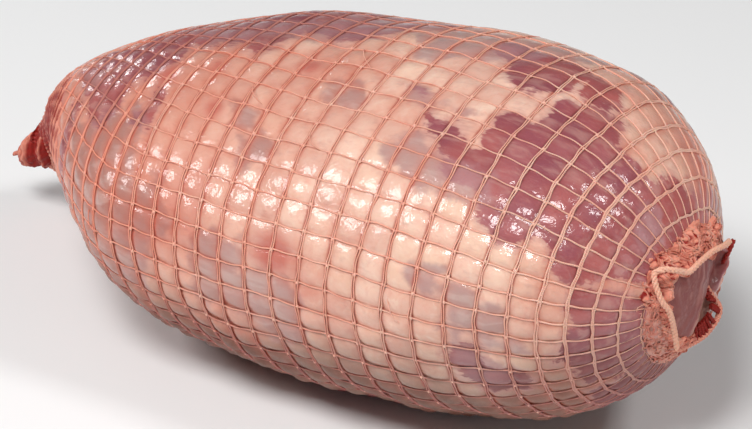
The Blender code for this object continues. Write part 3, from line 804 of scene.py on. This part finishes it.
def add_elastic(name, points, faces, tint, stain_and_shade=0.0, painted_shade_and_tone=0.0, uv=None, finish=elastic):
    """A piece of elastic with the values that its finish reads. Where the threads aren't followed one by
    one there is no run along a thread, and the UV map stays at 0."""
    values = {"tint": tint, "stain_and_shade": stain_and_shade, "painted_shade_and_tone": painted_shade_and_tone}
    values = {key: np.broadcast_to(value, len(points)) for key, value in values.items()}
    uv = np.zeros((sum(map(len, faces)), 2)) if uv is None else uv
    return add_piece(name, points, faces, finish, values, uv)


# %% [markdown]
# ## The rings of the net
#
# Each ring is a pair of threads side by side, a little wavy and sunk between the cushions. The rings near
# the knot are short, so they get fewer points. Towards the broad end the threads hang slacker and are
# thicker. At the frill the rings disappear under the bunched mouth.

# %% How threads lie on the skin, and their colour there
THREAD_SIDES = 5
FULL_CELL = 6 * MM  # threads keep their thickness in cells wider than this


def on_skin(ring, strand, lift):
    """Points over the skin at places in the net, lifted along its normal, and the normals."""
    point, normal, _, _ = lie(ring, strand)
    return point + normal * (swelling(point) + lift)[..., None], normal


def slacker(ring):
    """How much thicker a thread is where it is slacker: 1 up to ring 6.5, rising to 1.4 at ring 9.5."""
    return 1 + 0.4 * ease(ring, 6.5, 9.5)


def wobble(place, phases, *sines):
    """A sum of sine waves, each with a height, waves per turn of the place, and a phase of its own."""
    return sum(height * np.sin(times * place + phase) for (height, times), phase in zip(sines, phases))


def tint_at(points):
    """How pale a thread is: salmon at the narrow end, paler towards the broad end, uneven between."""
    return np.clip(0.05 + 0.85 * ease(points[..., 0], -0.09, 0.11) + 0.18 * waves(points, 30 * MM, 41), 0, 1)


def stain_at(ring, strand):
    """How much the meat's juice darkens a thread: over lean meat at the narrow half, less further on."""
    return area(ring, strand, LEAN_MEAT, 1.2) * np.clip(0.75 - (ring + 4) / 8, 0.12, 0.75)


def thread_painted_shade(normals):
    """Painted shade: how much darker a thread is made underneath, where the joint shades it."""
    return 0.8 * np.clip(turned_under(normals), 0, 1)


print("threads are thicker at the mouth by", slacker(LAST_RING))

# %% Rings: two threads each
def ring_paths(rings, count):
    """The pair of threads of each ring: waves of a thirtieth of a cell, and 0.6 mm from one thread to the
    other. Returns paths, normals and radii, and for each path point its juice staining plus painted shade
    underneath."""
    numbers = np.repeat(rings, 2)[:, None]
    which = np.tile([-1, 1], len(rings))[:, None]
    strand = np.arange(count) / count * STRANDS
    turn = strand / STRANDS * TURN
    phases = np.random.default_rng(51).uniform(0, TURN, (3, 60))[:, numbers - FIRST_RING]
    wave = wobble(turn, phases, (0.030, 7), (0.018, 19), (0.012, STRANDS))
    _, _, ring_step, strand_step = lie(numbers + wave, strand)
    thicker = slacker(numbers)
    apart = (0.30 + 0.05 * np.cos(TURN * strand) + 0.04 * np.sin(31 * turn + phases[0])) * MM / thicker ** 0.3
    scale = np.clip(strand_step / FULL_CELL, 0.45, 1)
    ring = numbers + wave + which * apart * scale / ring_step
    points, normals = on_skin(ring, strand, -0.02 * MM * scale)
    radii = 0.26 * MM * scale * thicker * (1 + 0.1 * np.cos(TURN * strand))
    return points, normals, radii, stain_at(ring, strand) + thread_painted_shade(normals)


def between(paths, radii, tube_points):
    """How much a point of a pair's tubes faces the other thread: the distance of its path to the pair's
    middle, less its own, in radii. It gives the painted shade between the two threads."""
    middle = np.repeat(0.5 * (paths[0::2] + paths[1::2]), 2, axis=0)
    own = np.linalg.norm(tube_points.reshape(*paths.shape[:2], THREAD_SIDES, 3) - middle[:, :, None], axis=-1)
    nearer = (np.linalg.norm(paths - middle, axis=-1) / radii)[..., None] - own / radii[..., None]
    return np.clip(nearer, 0, 1).ravel()


near_knot, further_on = ring_paths(np.arange(-21, -13), 126), ring_paths(np.arange(-13, 13), 252)
ring_tubes = [tubes(*band[:3], THREAD_SIDES, True) for band in (near_knot, further_on)]
points, faces, uv = gathered(ring_tubes)
stain_and_shade = np.repeat(np.concatenate([near_knot[3].ravel(), further_on[3].ravel()]), THREAD_SIDES)
inside = np.concatenate([
    between(band[0], band[2], made[0]) for band, made in zip((near_knot, further_on), ring_tubes)])
# Painted shade: the sides of a ring's two threads that face each other are darker, and so are the threads
# underneath.
net_rings = add_elastic("net_rings", points, faces, tint_at(points), stain_and_shade, 0.75 * inside, uv)

# %% [markdown]
# ## The strands of the net
#
# 42 thinner strands cross the rings, and sway a little on their way. At the narrow end they meet in the
# knot, and at the broad end they run on into the frill. A few short ends have sprung loose and stand off.

# %% Strands
def strand_paths():
    """Strands from the knot's seat to the frill, along the net. They sway a little, and a cosine takes them
    0.13 mm into the skin at each ring and just over it between two."""
    ring = np.concatenate([np.linspace(-21.6, -14, 40)[:-1], np.linspace(-14, LAST_RING, 184)])
    phases = np.random.default_rng(61).uniform(0, TURN, (3, STRANDS, 1))
    strand = np.arange(STRANDS)[:, None] + wobble(ring, phases, (0.02, TURN), (0.04, 0.9), (0.02, 2.3))
    _, _, _, strand_step = lie(ring, strand)
    scale = np.clip(strand_step / FULL_CELL, 0.5, 1)
    points, normals = on_skin(ring, strand, (-0.05 - 0.08 * np.cos(TURN * ring)) * MM * scale)
    radii = 0.24 * MM * scale * slacker(ring) * (1 + 0.1 * np.cos(TURN * ring))
    return points, normals, radii, stain_at(ring + 0 * strand, strand) + thread_painted_shade(normals)


STRAYS = np.array([  # ring and strand where each stray thread starts, then where it ends
    (-4.1, 38.2, -3.3, 38.8), (-1.0, 39.5, -0.4, 40.0), (-1.5, 35.0, -0.6, 36.0), (3.2, 44.4, 3.7, 45.3),
    (-9.3, 45.2, -8.7, 45.9), (7.4, 25.2, 8.1, 25.9), (-2.5, 22.3, -1.8, 23.1)])


def stray_paths():
    """Short loose ends of thread that stand off from a ring: straight in the net, bowed by 1.2 mm outwards,
    and thinner towards their end."""
    share = np.linspace(0, 1, 14)
    ring, strand, last_ring, last_strand = STRAYS.T[..., None]
    ring, strand = ring + (last_ring - ring) * share, strand + (last_strand - strand) * share
    lift = (0.2 + 1.2 * np.sin(math.pi * share)) * MM
    points, normals = on_skin(ring, strand + 0.15 * np.sin(3 * share), lift)
    return points, normals, 0.16 * MM * (1.1 - 0.5 * share)


*strands, strand_stain = strand_paths()
points, faces, uv = gathered([tubes(*paths, THREAD_SIDES, False) for paths in (strands, stray_paths())])
stain_and_shade = np.repeat(strand_stain.ravel(), THREAD_SIDES)
stain_and_shade = np.concatenate([stain_and_shade, np.zeros(len(points) - len(stain_and_shade))])
# Juice staining, with painted shade on the strands underneath.
net_strands = add_elastic("net_strands", points, faces, tint_at(points), stain_and_shade, uv=uv)

# %% [markdown]
# ## The crossings
#
# Where a strand passes through a ring, the knitting makes a small lump. There are more than a thousand,
# so each is a flattened ball of only 36 triangles, and all of them are one mesh.

# %% Lumps at the crossings
LUMP = np.array([1.15, 0.85, 0.62])  # along the ring, along the strand, out of the skin


def lumps_at(points, normals, ways, sizes):
    """Flattened balls: three circles of six points and two poles each, squashed along the normal."""
    side = unit(np.cross(normals, ways))
    way = np.cross(side, normals)
    turn, tilt = round_steps(6), np.radians([40, 90, 140])[:, None]
    circles = stacked(np.sin(tilt) * np.cos(turn), np.sin(tilt) * np.sin(turn), np.cos(tilt)).reshape(-1, 3)
    ball = np.concatenate([circles, [[0, 0, 1], [0, 0, -1]]]) * LUMP
    balls = points[:, None] + sizes[:, None, None] * (ball @ np.stack([way, side, normals], axis=1))
    faces = [[start + corner for corner in face]
             for start in range(0, len(points) * len(ball), len(ball)) for face in capped_faces(3, 6, -1)]
    return above_floor(balls.reshape(-1, 3)), faces


rings = np.arange(-20.0, LAST_RING)
ring, strand = np.repeat(rings, STRANDS), np.tile(np.arange(STRANDS), len(rings))
points, normals = on_skin(ring, strand, 0)
ways = woven(ring, strand + 0.1) - woven(ring, strand - 0.1)
sizes = 0.55 * MM * np.clip(lie(ring, strand)[3] / (7 * MM), 0.4, 1)
sizes *= np.random.default_rng(71).uniform(0.85, 1.15, len(ring))
points, faces = lumps_at(points, normals, ways, sizes)
stain_and_shade = np.repeat(stain_at(ring, strand), len(points) // len(ring))
net_crossings = add_elastic("net_crossings", points, faces, np.clip(tint_at(points) + 0.15, 0, 1), stain_and_shade)

# %% [markdown]
# ## The gathered net at the narrow end
#
# Between the last open cells and the knot the net is drawn together so tightly that its threads lie side
# by side, salmon with dark red painted shade between them. A sheet over the skin with a ridge for each thread
# of a ring and a finer one for each strand shows this. Its painted shade is also deepest beside the knot. It
# reaches further on in front, where the net is drawn to the knot, and at its wide edge it sinks into the
# meat, where the open net goes on.

# %% The gathered net
GATHER_START = -22.9
share, strand = np.meshgrid(np.linspace(0, 1, 96), np.arange(STRANDS * 6) / 6, indexing="ij")
ring = GATHER_START + share * (gather_edge(strand) - GATHER_START)
point, normal, _, _ = lie(ring, strand)
bend = 0.25 * waves(stacked(strand, ring), 7, 78)
fold = np.cos(TURN * (2.0 * ring + bend)) + 0.45 * np.cos(TURN * (strand + 0.5 * bend))
fold += 0.4 * waves(point, 3 * MM, 79)
fade = np.clip((gather_edge(strand) - ring) / 0.9, 0, 1)
sheet = point + normal * (swelling(point) + MM * (0.3 * fold * fade + 1.0 * fade - 0.75))[..., None]
inner = sheet - normal * 0.4 * MM * (0.2 + fade[..., None])

at = np.arange(ring.size).reshape(ring.shape)[[0, -1]]
hem = stacked(at + ring.size, at, np.roll(at, -1, axis=1), np.roll(at, -1, axis=1) + ring.size)
quads = grid_faces(*ring.shape)
faces = np.concatenate([quads, quads[:, ::-1] + ring.size, hem[0, :, ::-1], hem[1]]).tolist()
points = above_floor(np.concatenate([sheet.reshape(-1, 3), inner.reshape(-1, 3)]))
shade_beside_knot = np.exp(-(strands_from(strand, 4.5) / 5.0) ** 2) * ease(ring, -13.5, -15.3)
# Painted shade: dark red between the ridges, beside the knot and at the end nearest the knot.
painted_shade_and_tone = np.clip(0.28 - 0.5 * fold + 1.0 * shade_beside_knot + 0.3 * ease(ring, -21.2, -22.4), 0, 1).ravel()
net_gather = add_elastic("net_gather", points, faces, 0.2, 0.1, np.tile(painted_shade_and_tone, 2))

# %% [markdown]
# ## The knot
#
# At the narrow end the whole net is twisted together and wound round itself. Up close that is a stub of
# two thick windings with a deep gap between them, a dark waist against the meat, and a short tail. It
# could be dozens of threads. One surface with the windings in its profile and fine twisted ridges on it
# looks the same from a normal distance. Its colour carries painted shade: darker by how deep its gaps are,
# in the creases between its folds and on its lower side, and lighter on the ridges.

# %% The knot's surface
KNOT = np.array([  # x and radius in mm, and how deep in a gap: 1 is deep
    (13.2, 5.2, 1), (12.3, 5.2, 1), (11.4, 5.0, 1), (10.6, 5.8, 1), (9.7, 7.0, 0.7), (8.7, 7.8, 0.15),
    (7.5, 7.4, 0.2), (6.2, 6.0, 0.85), (4.8, 4.6, 1), (3.4, 4.5, 1), (2.0, 5.5, 0.75), (0.5, 6.2, 0.15),
    (-1.0, 6.2, 0), (-2.5, 5.8, 0.15), (-3.6, 4.6, 0.3), (-4.4, 2.2, 0.3), (-6.8, 1.1, 0.2), (-10, 0.8, 0.1)])
RIDGE_PITCH = 1.5 * MM
KNOT_ROWS, KNOT_COLUMNS = 130, 132

share = np.linspace(0, 1, KNOT_ROWS)[:, None]
turn = round_steps(KNOT_COLUMNS)
slant = 0.03 * np.sin(turn + 0.6) + 0.015 * np.sin(2 * turn + 2.0)
profile_place = np.clip(share + slant * np.sin(math.pi * share), 0, 1)
knot_x, radius = along(KNOT[:, 0] * MM, share), along(KNOT[:, 1] * MM, profile_place)
gap = np.clip(along(KNOT[:, 2], profile_place), 0, 1)
round_knot = stacked(knot_x, radius * np.sin(turn), radius * np.cos(turn))
ridges = np.cos(TURN * knot_x / RIDGE_PITCH + turn + 1.6 * np.sin(2 * turn + 1))
ridges *= 0.6 + 0.4 * waves(round_knot, 4 * MM, 75)
folds = np.abs(waves(round_knot, 4.5 * MM, 76))
filled_below = gap * np.clip(-np.cos(turn), 0, 1) * (np.abs(knot_x - 3.5 * MM) < 4 * MM)
unevenness = np.sin(math.pi * share) ** 0.5 * (0.22 * ridges + 0.7 * folds - 0.4)
radius = radius + (1.5 * filled_below + unevenness) * MM
axis_height = RISES[0] + 0.51 * (knot_x - 0.4 * MM) - 0.4 * MM
knot = stacked(knot_x, -0.5 * MM - radius * np.sin(turn), axis_height + radius * np.cos(turn)) - MIDDLE
# Painted shade: darker by how deep the gaps are, in the creases and on the lower side, lighter on the ridges;
# the base of 0.42 deepens the red of the whole knot.
painted_shade_and_tone = 0.42 + 0.95 * gap + 0.5 * np.clip(0.45 - folds, 0, 1) - 0.12 * ridges - 0.14 * np.cos(turn - 0.6)
painted_shade_and_tone = np.concatenate([np.clip(painted_shade_and_tone, 0, 1).ravel(), [1.0, 0.2]])
points = np.concatenate([knot.reshape(-1, 3), [knot[0].mean(axis=0), knot[-1].mean(axis=0)]])
net_knot = add_elastic("net_knot", points, capped_faces(KNOT_ROWS, KNOT_COLUMNS, -1), 0.1, 0.0, painted_shade_and_tone)

# %% [markdown]
# ## The frill
#
# At the broad end the net is pulled together and its edge crumples. The crumpled net is too fine to make
# thread by thread, so a lumpy ring of it comes first: a ring whose section is an oval, pushed in and out
# by unevenness with sharp valleys. Threads then run over it in waves and loops.

# %% The lumpy ring under the frill
FRILL = np.array([  # angle in degrees, reach in mm
    (0, 20.5), (20, 18.5), (40, 22.5), (60, 22.8), (80, 20.2), (92, 18.2), (100, 17), (120, 17.5),
    (140, 18.5), (160, 20), (200, 20), (220, 18), (240, 17), (260, 18), (280, 22), (300, 23), (320, 21),
    (340, 19.8)])
FRILL_ANGLES, FRILL_REACH = np.radians(FRILL[:, 0]), FRILL[:, 1] * MM
DOME = 0.476  # the leg's end falls off in x by this times (reach / size of the end) ** 2
RIM_BACK = 8 * MM  # the end's size is taken this far before it
RIM = skin(LEG - RIM_BACK, round_steps(72)) - MIDDLE - MOUTH
RIM_ANGLES = np.mod(np.arctan2(-RIM[:, 1], RIM[:, 2]), TURN)
RIM_SIZES = np.hypot(RIM[:, 1], RIM[:, 2]) / math.sqrt(RIM_BACK / LEG / DOME)


def frill(angle, turn, lift=0.0):
    """Points of the frill: angle goes round the mouth, turn round the ring's section, and turn 0 points
    away from the leg. The section is an oval from the face's rim out to the reach. It lies on the leg's end,
    where x falls with the square of the distance from the mouth's middle, and unevenness moves it in and
    out. Returns the points, the outward direction and how deep in a valley each is."""
    inner = face_reach(angle) - 0.2 * MM
    outer = np.interp(np.mod(angle, TURN), FRILL_ANGLES, FRILL_REACH, period=TURN)
    outwards = 0.5 + 0.5 * np.sin(turn)
    reach = inner + (outer - inner) * outwards
    bunched = 1 - 0.72 * (0.5 + 0.5 * np.cos(angle - math.radians(243))) ** 4
    thick = (4.6 - 2.6 * outwards) * MM * bunched
    size = np.interp(np.mod(angle, TURN), RIM_ANGLES, RIM_SIZES, period=TURN)
    seat = LEG * (1 - DOME * (reach / size) ** 2) + 2.2 * MM * (1 - outwards) ** 2 - 0.5 * MM
    seat -= 2.6 * MM * (1 - outwards) * ease(np.cos(angle - math.radians(265)), 0.5, 0.8)
    base = round_mouth(seat + thick * np.cos(turn), reach, angle)
    rise = thick * np.sin(turn)
    out = unit(stacked(np.cos(turn) * 0.5 * (outer - inner), -rise * np.sin(angle), rise * np.cos(angle)))
    coarse, fine = (np.abs(waves(base, size, seed)) for size, seed in ((7.5 * MM, 81), (3.7 * MM, 82)))
    hollow = 0.7 * np.clip(1 - 2.4 * coarse, 0, 1) + 0.95 * np.clip(1 - 2.0 * fine, 0, 1)
    push = (1.2 * coarse + 0.9 * fine - 1.1) * MM * (0.35 + 0.65 * bunched)
    return base + out * (push + lift)[..., None], out, hollow


FRILL_ROWS, FRILL_COLUMNS = 440, 80
points, _, hollow = frill(round_steps(FRILL_ROWS)[:, None], round_steps(FRILL_COLUMNS))
points, hollow = points.reshape(-1, 3), np.clip(hollow.ravel(), 0, 1)
faces = grid_faces(FRILL_ROWS, FRILL_COLUMNS, looped=True).tolist()
# Painted shade: the frill is dark red in its valleys and a little deeper salmon there.
net_frill = add_elastic(
    "net_frill", points, faces, 0.12 * (1 - hollow), painted_shade_and_tone=np.clip(0.08 + 1.25 * hollow, 0, 1))

# %% [markdown]
# ## Threads over the frill
#
# The strands go on over the crest of the ring, the last rings of the net wave over it, and short loops
# stand off where the edge has come loose. Each is a path on the frill's own formula, so it lies on the
# lumps whatever their form.

# %% Waves, strands and loops of thread on the frill
frill_rng = np.random.default_rng(91)


def phases(*shape):
    """Seeded phases for waves, over about one turn."""
    return frill_rng.uniform(0, 6.28, shape)


def frill_strands():
    """Strands on the slope and over the frill's crest, swaying more the further on they are."""
    share, across = np.linspace(0, 1, 24), np.linspace(1.1, -0.9, 40)
    angles = strand_angle(LAST_RING, np.arange(STRANDS))[:, None]
    sway = 0.05 * np.sin(7 * share + phases(STRANDS, 1)) * share
    slope, slope_out = mouth_slope(angles + sway, share)
    slope = slope + slope_out * (0.1 * MM * np.sin(math.pi * share))[:, None]
    sway_on = sway[:, -1:] + 0.07 * np.sin(3 * (1.1 - across) + phases(STRANDS, 1)) * (1.1 - across)
    over, over_out, _ = frill(angles + sway_on, across, 0.1 * MM)
    joins = ((slope[:, :18], over), (slope_out[:, :18], over_out))
    return [np.concatenate(join, axis=1) for join in joins]


def slope_rings(turn):
    """Four wavy rings on the slope below the frill."""
    phase = phases(3, 4, 1)
    levels = np.array([0.12, 0.27, 0.42, 0.58])[:, None]
    low, out = mouth_slope(turn, levels + wobble(turn, phase, (0.035, 42), (0.025, 23), (0.01, 67)))
    return low + out * (0.2 + 0.12 * np.sin(42 * turn + phase[2]))[..., None] * MM, out


def frill_rings(turn):
    """Seven wavy rings over the frill."""
    phase = phases(4, 7, 1)
    levels = np.linspace(1.0, -1.1, 7)[:, None] + wobble(turn, phase, (0.16, 13), (0.12, 29), (0.07, 47))
    lift = 0.1 * MM + 0.2 * MM * np.sin(37 * turn + phase[3])
    return frill(turn + 0.02 * np.sin(53 * turn + phase[3]), levels, lift)[:2]


def frill_curls(count=64):
    """Short curls: six tenths of a circle each, in angle and turn, lifted by up to 0.55 mm."""
    curl = np.linspace(0, 1, 26)
    middles, heights, spins, reach, lift = (
        frill_rng.uniform(low, high, (count, 1))
        for low, high in ((-0.35, 1.6), (-0.9, 1.2), (-1.6, 1.6), (0.5, 1.2), (0.2, 1)))
    angles = middles * TURN / 4 + 0.075 * reach * np.cos(0.6 * TURN * curl + spins * math.pi)
    turns = heights + 0.28 * reach * np.sin(0.6 * TURN * curl + 1.3 * spins * math.pi)
    return frill(angles, turns, (0.05 + 0.5 * np.sin(math.pi * curl) * lift) * MM)[:2]


round_turn = round_steps(504)
over_edge = [
    tubes(*frill_strands(), 0.30 * MM, THREAD_SIDES, False),
    tubes(*slope_rings(round_turn), 0.28 * MM, THREAD_SIDES, True)]
crumpled = [
    tubes(*frill_rings(round_turn), 0.26 * MM, THREAD_SIDES, True),
    tubes(*frill_curls(), 0.29 * MM, THREAD_SIDES + 1, False)]
points, faces, uv = gathered(over_edge + crumpled)
on_edge = np.arange(len(points)) < sum(len(made[0]) for made in over_edge)
patches = np.clip(waves(points, 6 * MM, 93), 0, 1)
net_frill_threads = add_elastic(
    "net_frill_threads", points, faces, np.where(on_edge, 0.3, 0.05) + 0.25 * patches, 0.2 * on_edge,
    0.04 + 0.34 * (1 - patches), uv)

# %% [markdown]
# ## The loop and the cord
#
# A loop of the net's edge stands off at the lower side of the mouth, and a thicker, paler cord lies
# loosely across it. Both follow the routes that the solids have, through smooth curves. Up close each is
# three or four threads wound round one another. Short twists inside the loop stand for the tangle there.

# %% The loop at the mouth and the loose cord
CORD_ROUTE = np.array([
    (262.6, 14.6, 11.4), (263.9, 9.6, 12.7), (264, 2.6, 13.8), (264, -4.4, 13.4), (264, -9.6, 12.9),
    (263.6, -15.6, 15.8), (261.6, -19.2, 17.2), (259.6, -21, 16), (261, -22, 12.6), (263.2, -22, 8.6),
    (264.2, -19.6, 4.6), (264.4, -16.8, -2.6), (264.3, -14.6, -9.6)]) * MM
LOOP_ROUTE = np.array([
    (258.0, 9.5, -1.5), (260.0, 10.9, -5.6), (262.0, 12.3, -9.4), (262.3, 11.0, -12.6), (262.0, 6.4, -15.2),
    (261.6, 1.6, -15.7), (260.6, -5.2, -15.3), (258.6, -9.0, -14.6)]) * MM
STUB_ROUTE = np.array([(258.6, 18.0, 1.0), (260.0, 17.8, 4.0), (261.0, 18.4, 7.0), (261.4, 19.2, 9.4)]) * MM
BRIDGES_AT = (0.02, 0.07, 0.12, 0.17, 0.21, 0.33, 0.36, 0.48, 0.53, 0.58, 0.63, 0.68, 0.73, 0.78, 0.83, 0.88)


def routed(route, count):
    """Points of a smooth curve through a route: x from the narrow end, y and z from the mouth's middle."""
    points = stacked(*(along(lengths, np.linspace(0, 1, count)) for lengths in route.T))
    return points + MOUTH * [0, 1, 1] - MIDDLE * [1, 0, 0]


def twisted(path, radius, threads, pitch, thick):
    """Threads wound round a path, each at its own start of the turn: a helix of the radius and pitch."""
    ahead = unit(np.gradient(path, axis=0))
    up = unit(np.cross(ahead, [1.0, 0.2, 0.1]))
    run = np.concatenate([[0], np.cumsum(np.linalg.norm(np.diff(path, axis=0), axis=1))])
    turn = (TURN * (run / pitch + np.arange(threads)[:, None] / threads))[..., None]
    out = np.cos(turn) * up + np.sin(turn) * np.cross(ahead, up)
    return tubes(path + radius * out, out, thick, 6, False)


pale_elastic = thread_finish("pale_elastic_cord", (0.90, 0.52, 0.38), (0.82, 0.36, 0.25), (0.72, 0.30, 0.20))
points, faces, uv = twisted(routed(CORD_ROUTE, 420), 0.42 * MM, 3, 4.2 * MM, 0.5 * MM)
loose_cord = add_elastic("loose_cord", points, faces, 0.75, uv=uv, finish=pale_elastic)

loop_line = routed(LOOP_ROUTE, 260)
to_middle = round_mouth(260 * MM, 0.0, 0.0) - loop_line
inwards = np.linspace(0, 0.32, 12)[:, None]
bridges = [twisted(loop_line[at] + to_middle[at] * inwards, 0.35 * MM, 3, 3 * MM, 0.45 * MM)
           for at in (np.array(BRIDGES_AT) * 259).astype(int)]
loop = twisted(loop_line, 0.5 * MM, 4, 5 * MM, 0.42 * MM)
stub = twisted(routed(STUB_ROUTE, 50), 0.35 * MM, 3, 4 * MM, 0.4 * MM)
points, faces, uv = gathered([loop, stub, *bridges])
depth = np.where(np.arange(len(points)) < len(loop[0]), 0.15, 0.95)
net_loop = add_elastic("net_loop", points, faces, 0.3, 0.0, depth, uv)

for piece in (
        net_rings, net_strands, net_crossings, net_gather, net_knot, net_frill, net_frill_threads, net_loop):
    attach(piece, "root")
    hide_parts("net")
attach(loose_cord, "root")
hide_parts("mouth_cord")

# %% [markdown]
# ## Studio and camera
#
# The leg lies on a white floor in soft light. The strongest lamp stands high in front, and one further left
# gives the glints on the fat. Two at the broad end, one high and one wide and low, light it from its side,
# and a small one behind the knot draws a few glints along the top. The camera's place was worked out from
# the crossings of the net in the photograph.

# %% Floor, lights and camera
FLOOR_HALF, FLOOR_LEVEL = 3.0, -0.2 * MM
ground = Finish("pale_floor")
ground.shade({"Base Color": (0.88, 0.88, 0.88, 1), "Roughness": 0.9})
corners = np.array([(-1, -1, 0), (1, -1, 0), (1, 1, 0), (-1, 1, 0)]) * FLOOR_HALF + [0, 0, FLOOR_LEVEL]
floor = add_piece("floor", corners, [[0, 1, 2, 3]], ground)

TARGET = np.array([0.01779, -0.0007, 0.04505])
LAMPS = [  # name, azimuth and elevation from the target, distance, side of the square, power
    ("left_light", -50, 40, 1.5, 0.45, 8.2), ("right_light", 105, 55, 1.5, 0.3, 6.0),
    ("front_light", 15, 56, 1.7, 0.5, 18.0), ("low_light", 92, 8, 1.6, 0.9, 3.8),
    ("back_light", -119, 13, 1.6, 0.18, 1.1)]


def place_at(name, data, azimuth, elevation, distance):
    """A lamp or camera that looks at the target from a distance: azimuth 0 is straight in front, on -Y, and
    grows towards +X. It looks along its own -Z."""
    azimuth, elevation = math.radians(azimuth), math.radians(elevation)
    along_floor = np.array([math.sin(azimuth), -math.cos(azimuth), 0]) * math.cos(elevation)
    thing = bpy.data.objects.new(name, data)
    bpy.context.scene.collection.objects.link(thing)
    thing.location = TARGET + distance * (along_floor + [0, 0, math.sin(elevation)])
    thing.rotation_euler = (Vector(TARGET) - thing.location).to_track_quat("-Z", "Y").to_euler()
    return thing


for name, azimuth, elevation, distance, side, power in LAMPS:
    lamp = bpy.data.lights.new(name, "AREA")
    lamp.shape, lamp.size, lamp.energy = "SQUARE", side, power
    place_at(name, lamp, azimuth, elevation, distance)
world = bpy.data.worlds.new("studio")
world.use_nodes = True
world.node_tree.nodes["Background"].inputs["Color"].default_value = (1, 1, 1, 1)
world.node_tree.nodes["Background"].inputs["Strength"].default_value = 0.08
bpy.context.scene.world = world
bpy.context.scene.view_settings.view_transform = "Standard"

camera_data = bpy.data.cameras.new("camera")
camera_data.lens, camera_data.sensor_width = 139.6, 36
camera = place_at("camera", camera_data, 36.901, 28.611, 0.9)
bpy.context.scene.camera = camera
print("lamps", len(LAMPS), "camera at", [round(value, 3) for value in camera.location])

# %% [markdown]
#
# The dressed leg has to stay the size of its solids.

# %% Bring the scene up to date
bpy.context.view_layer.update()
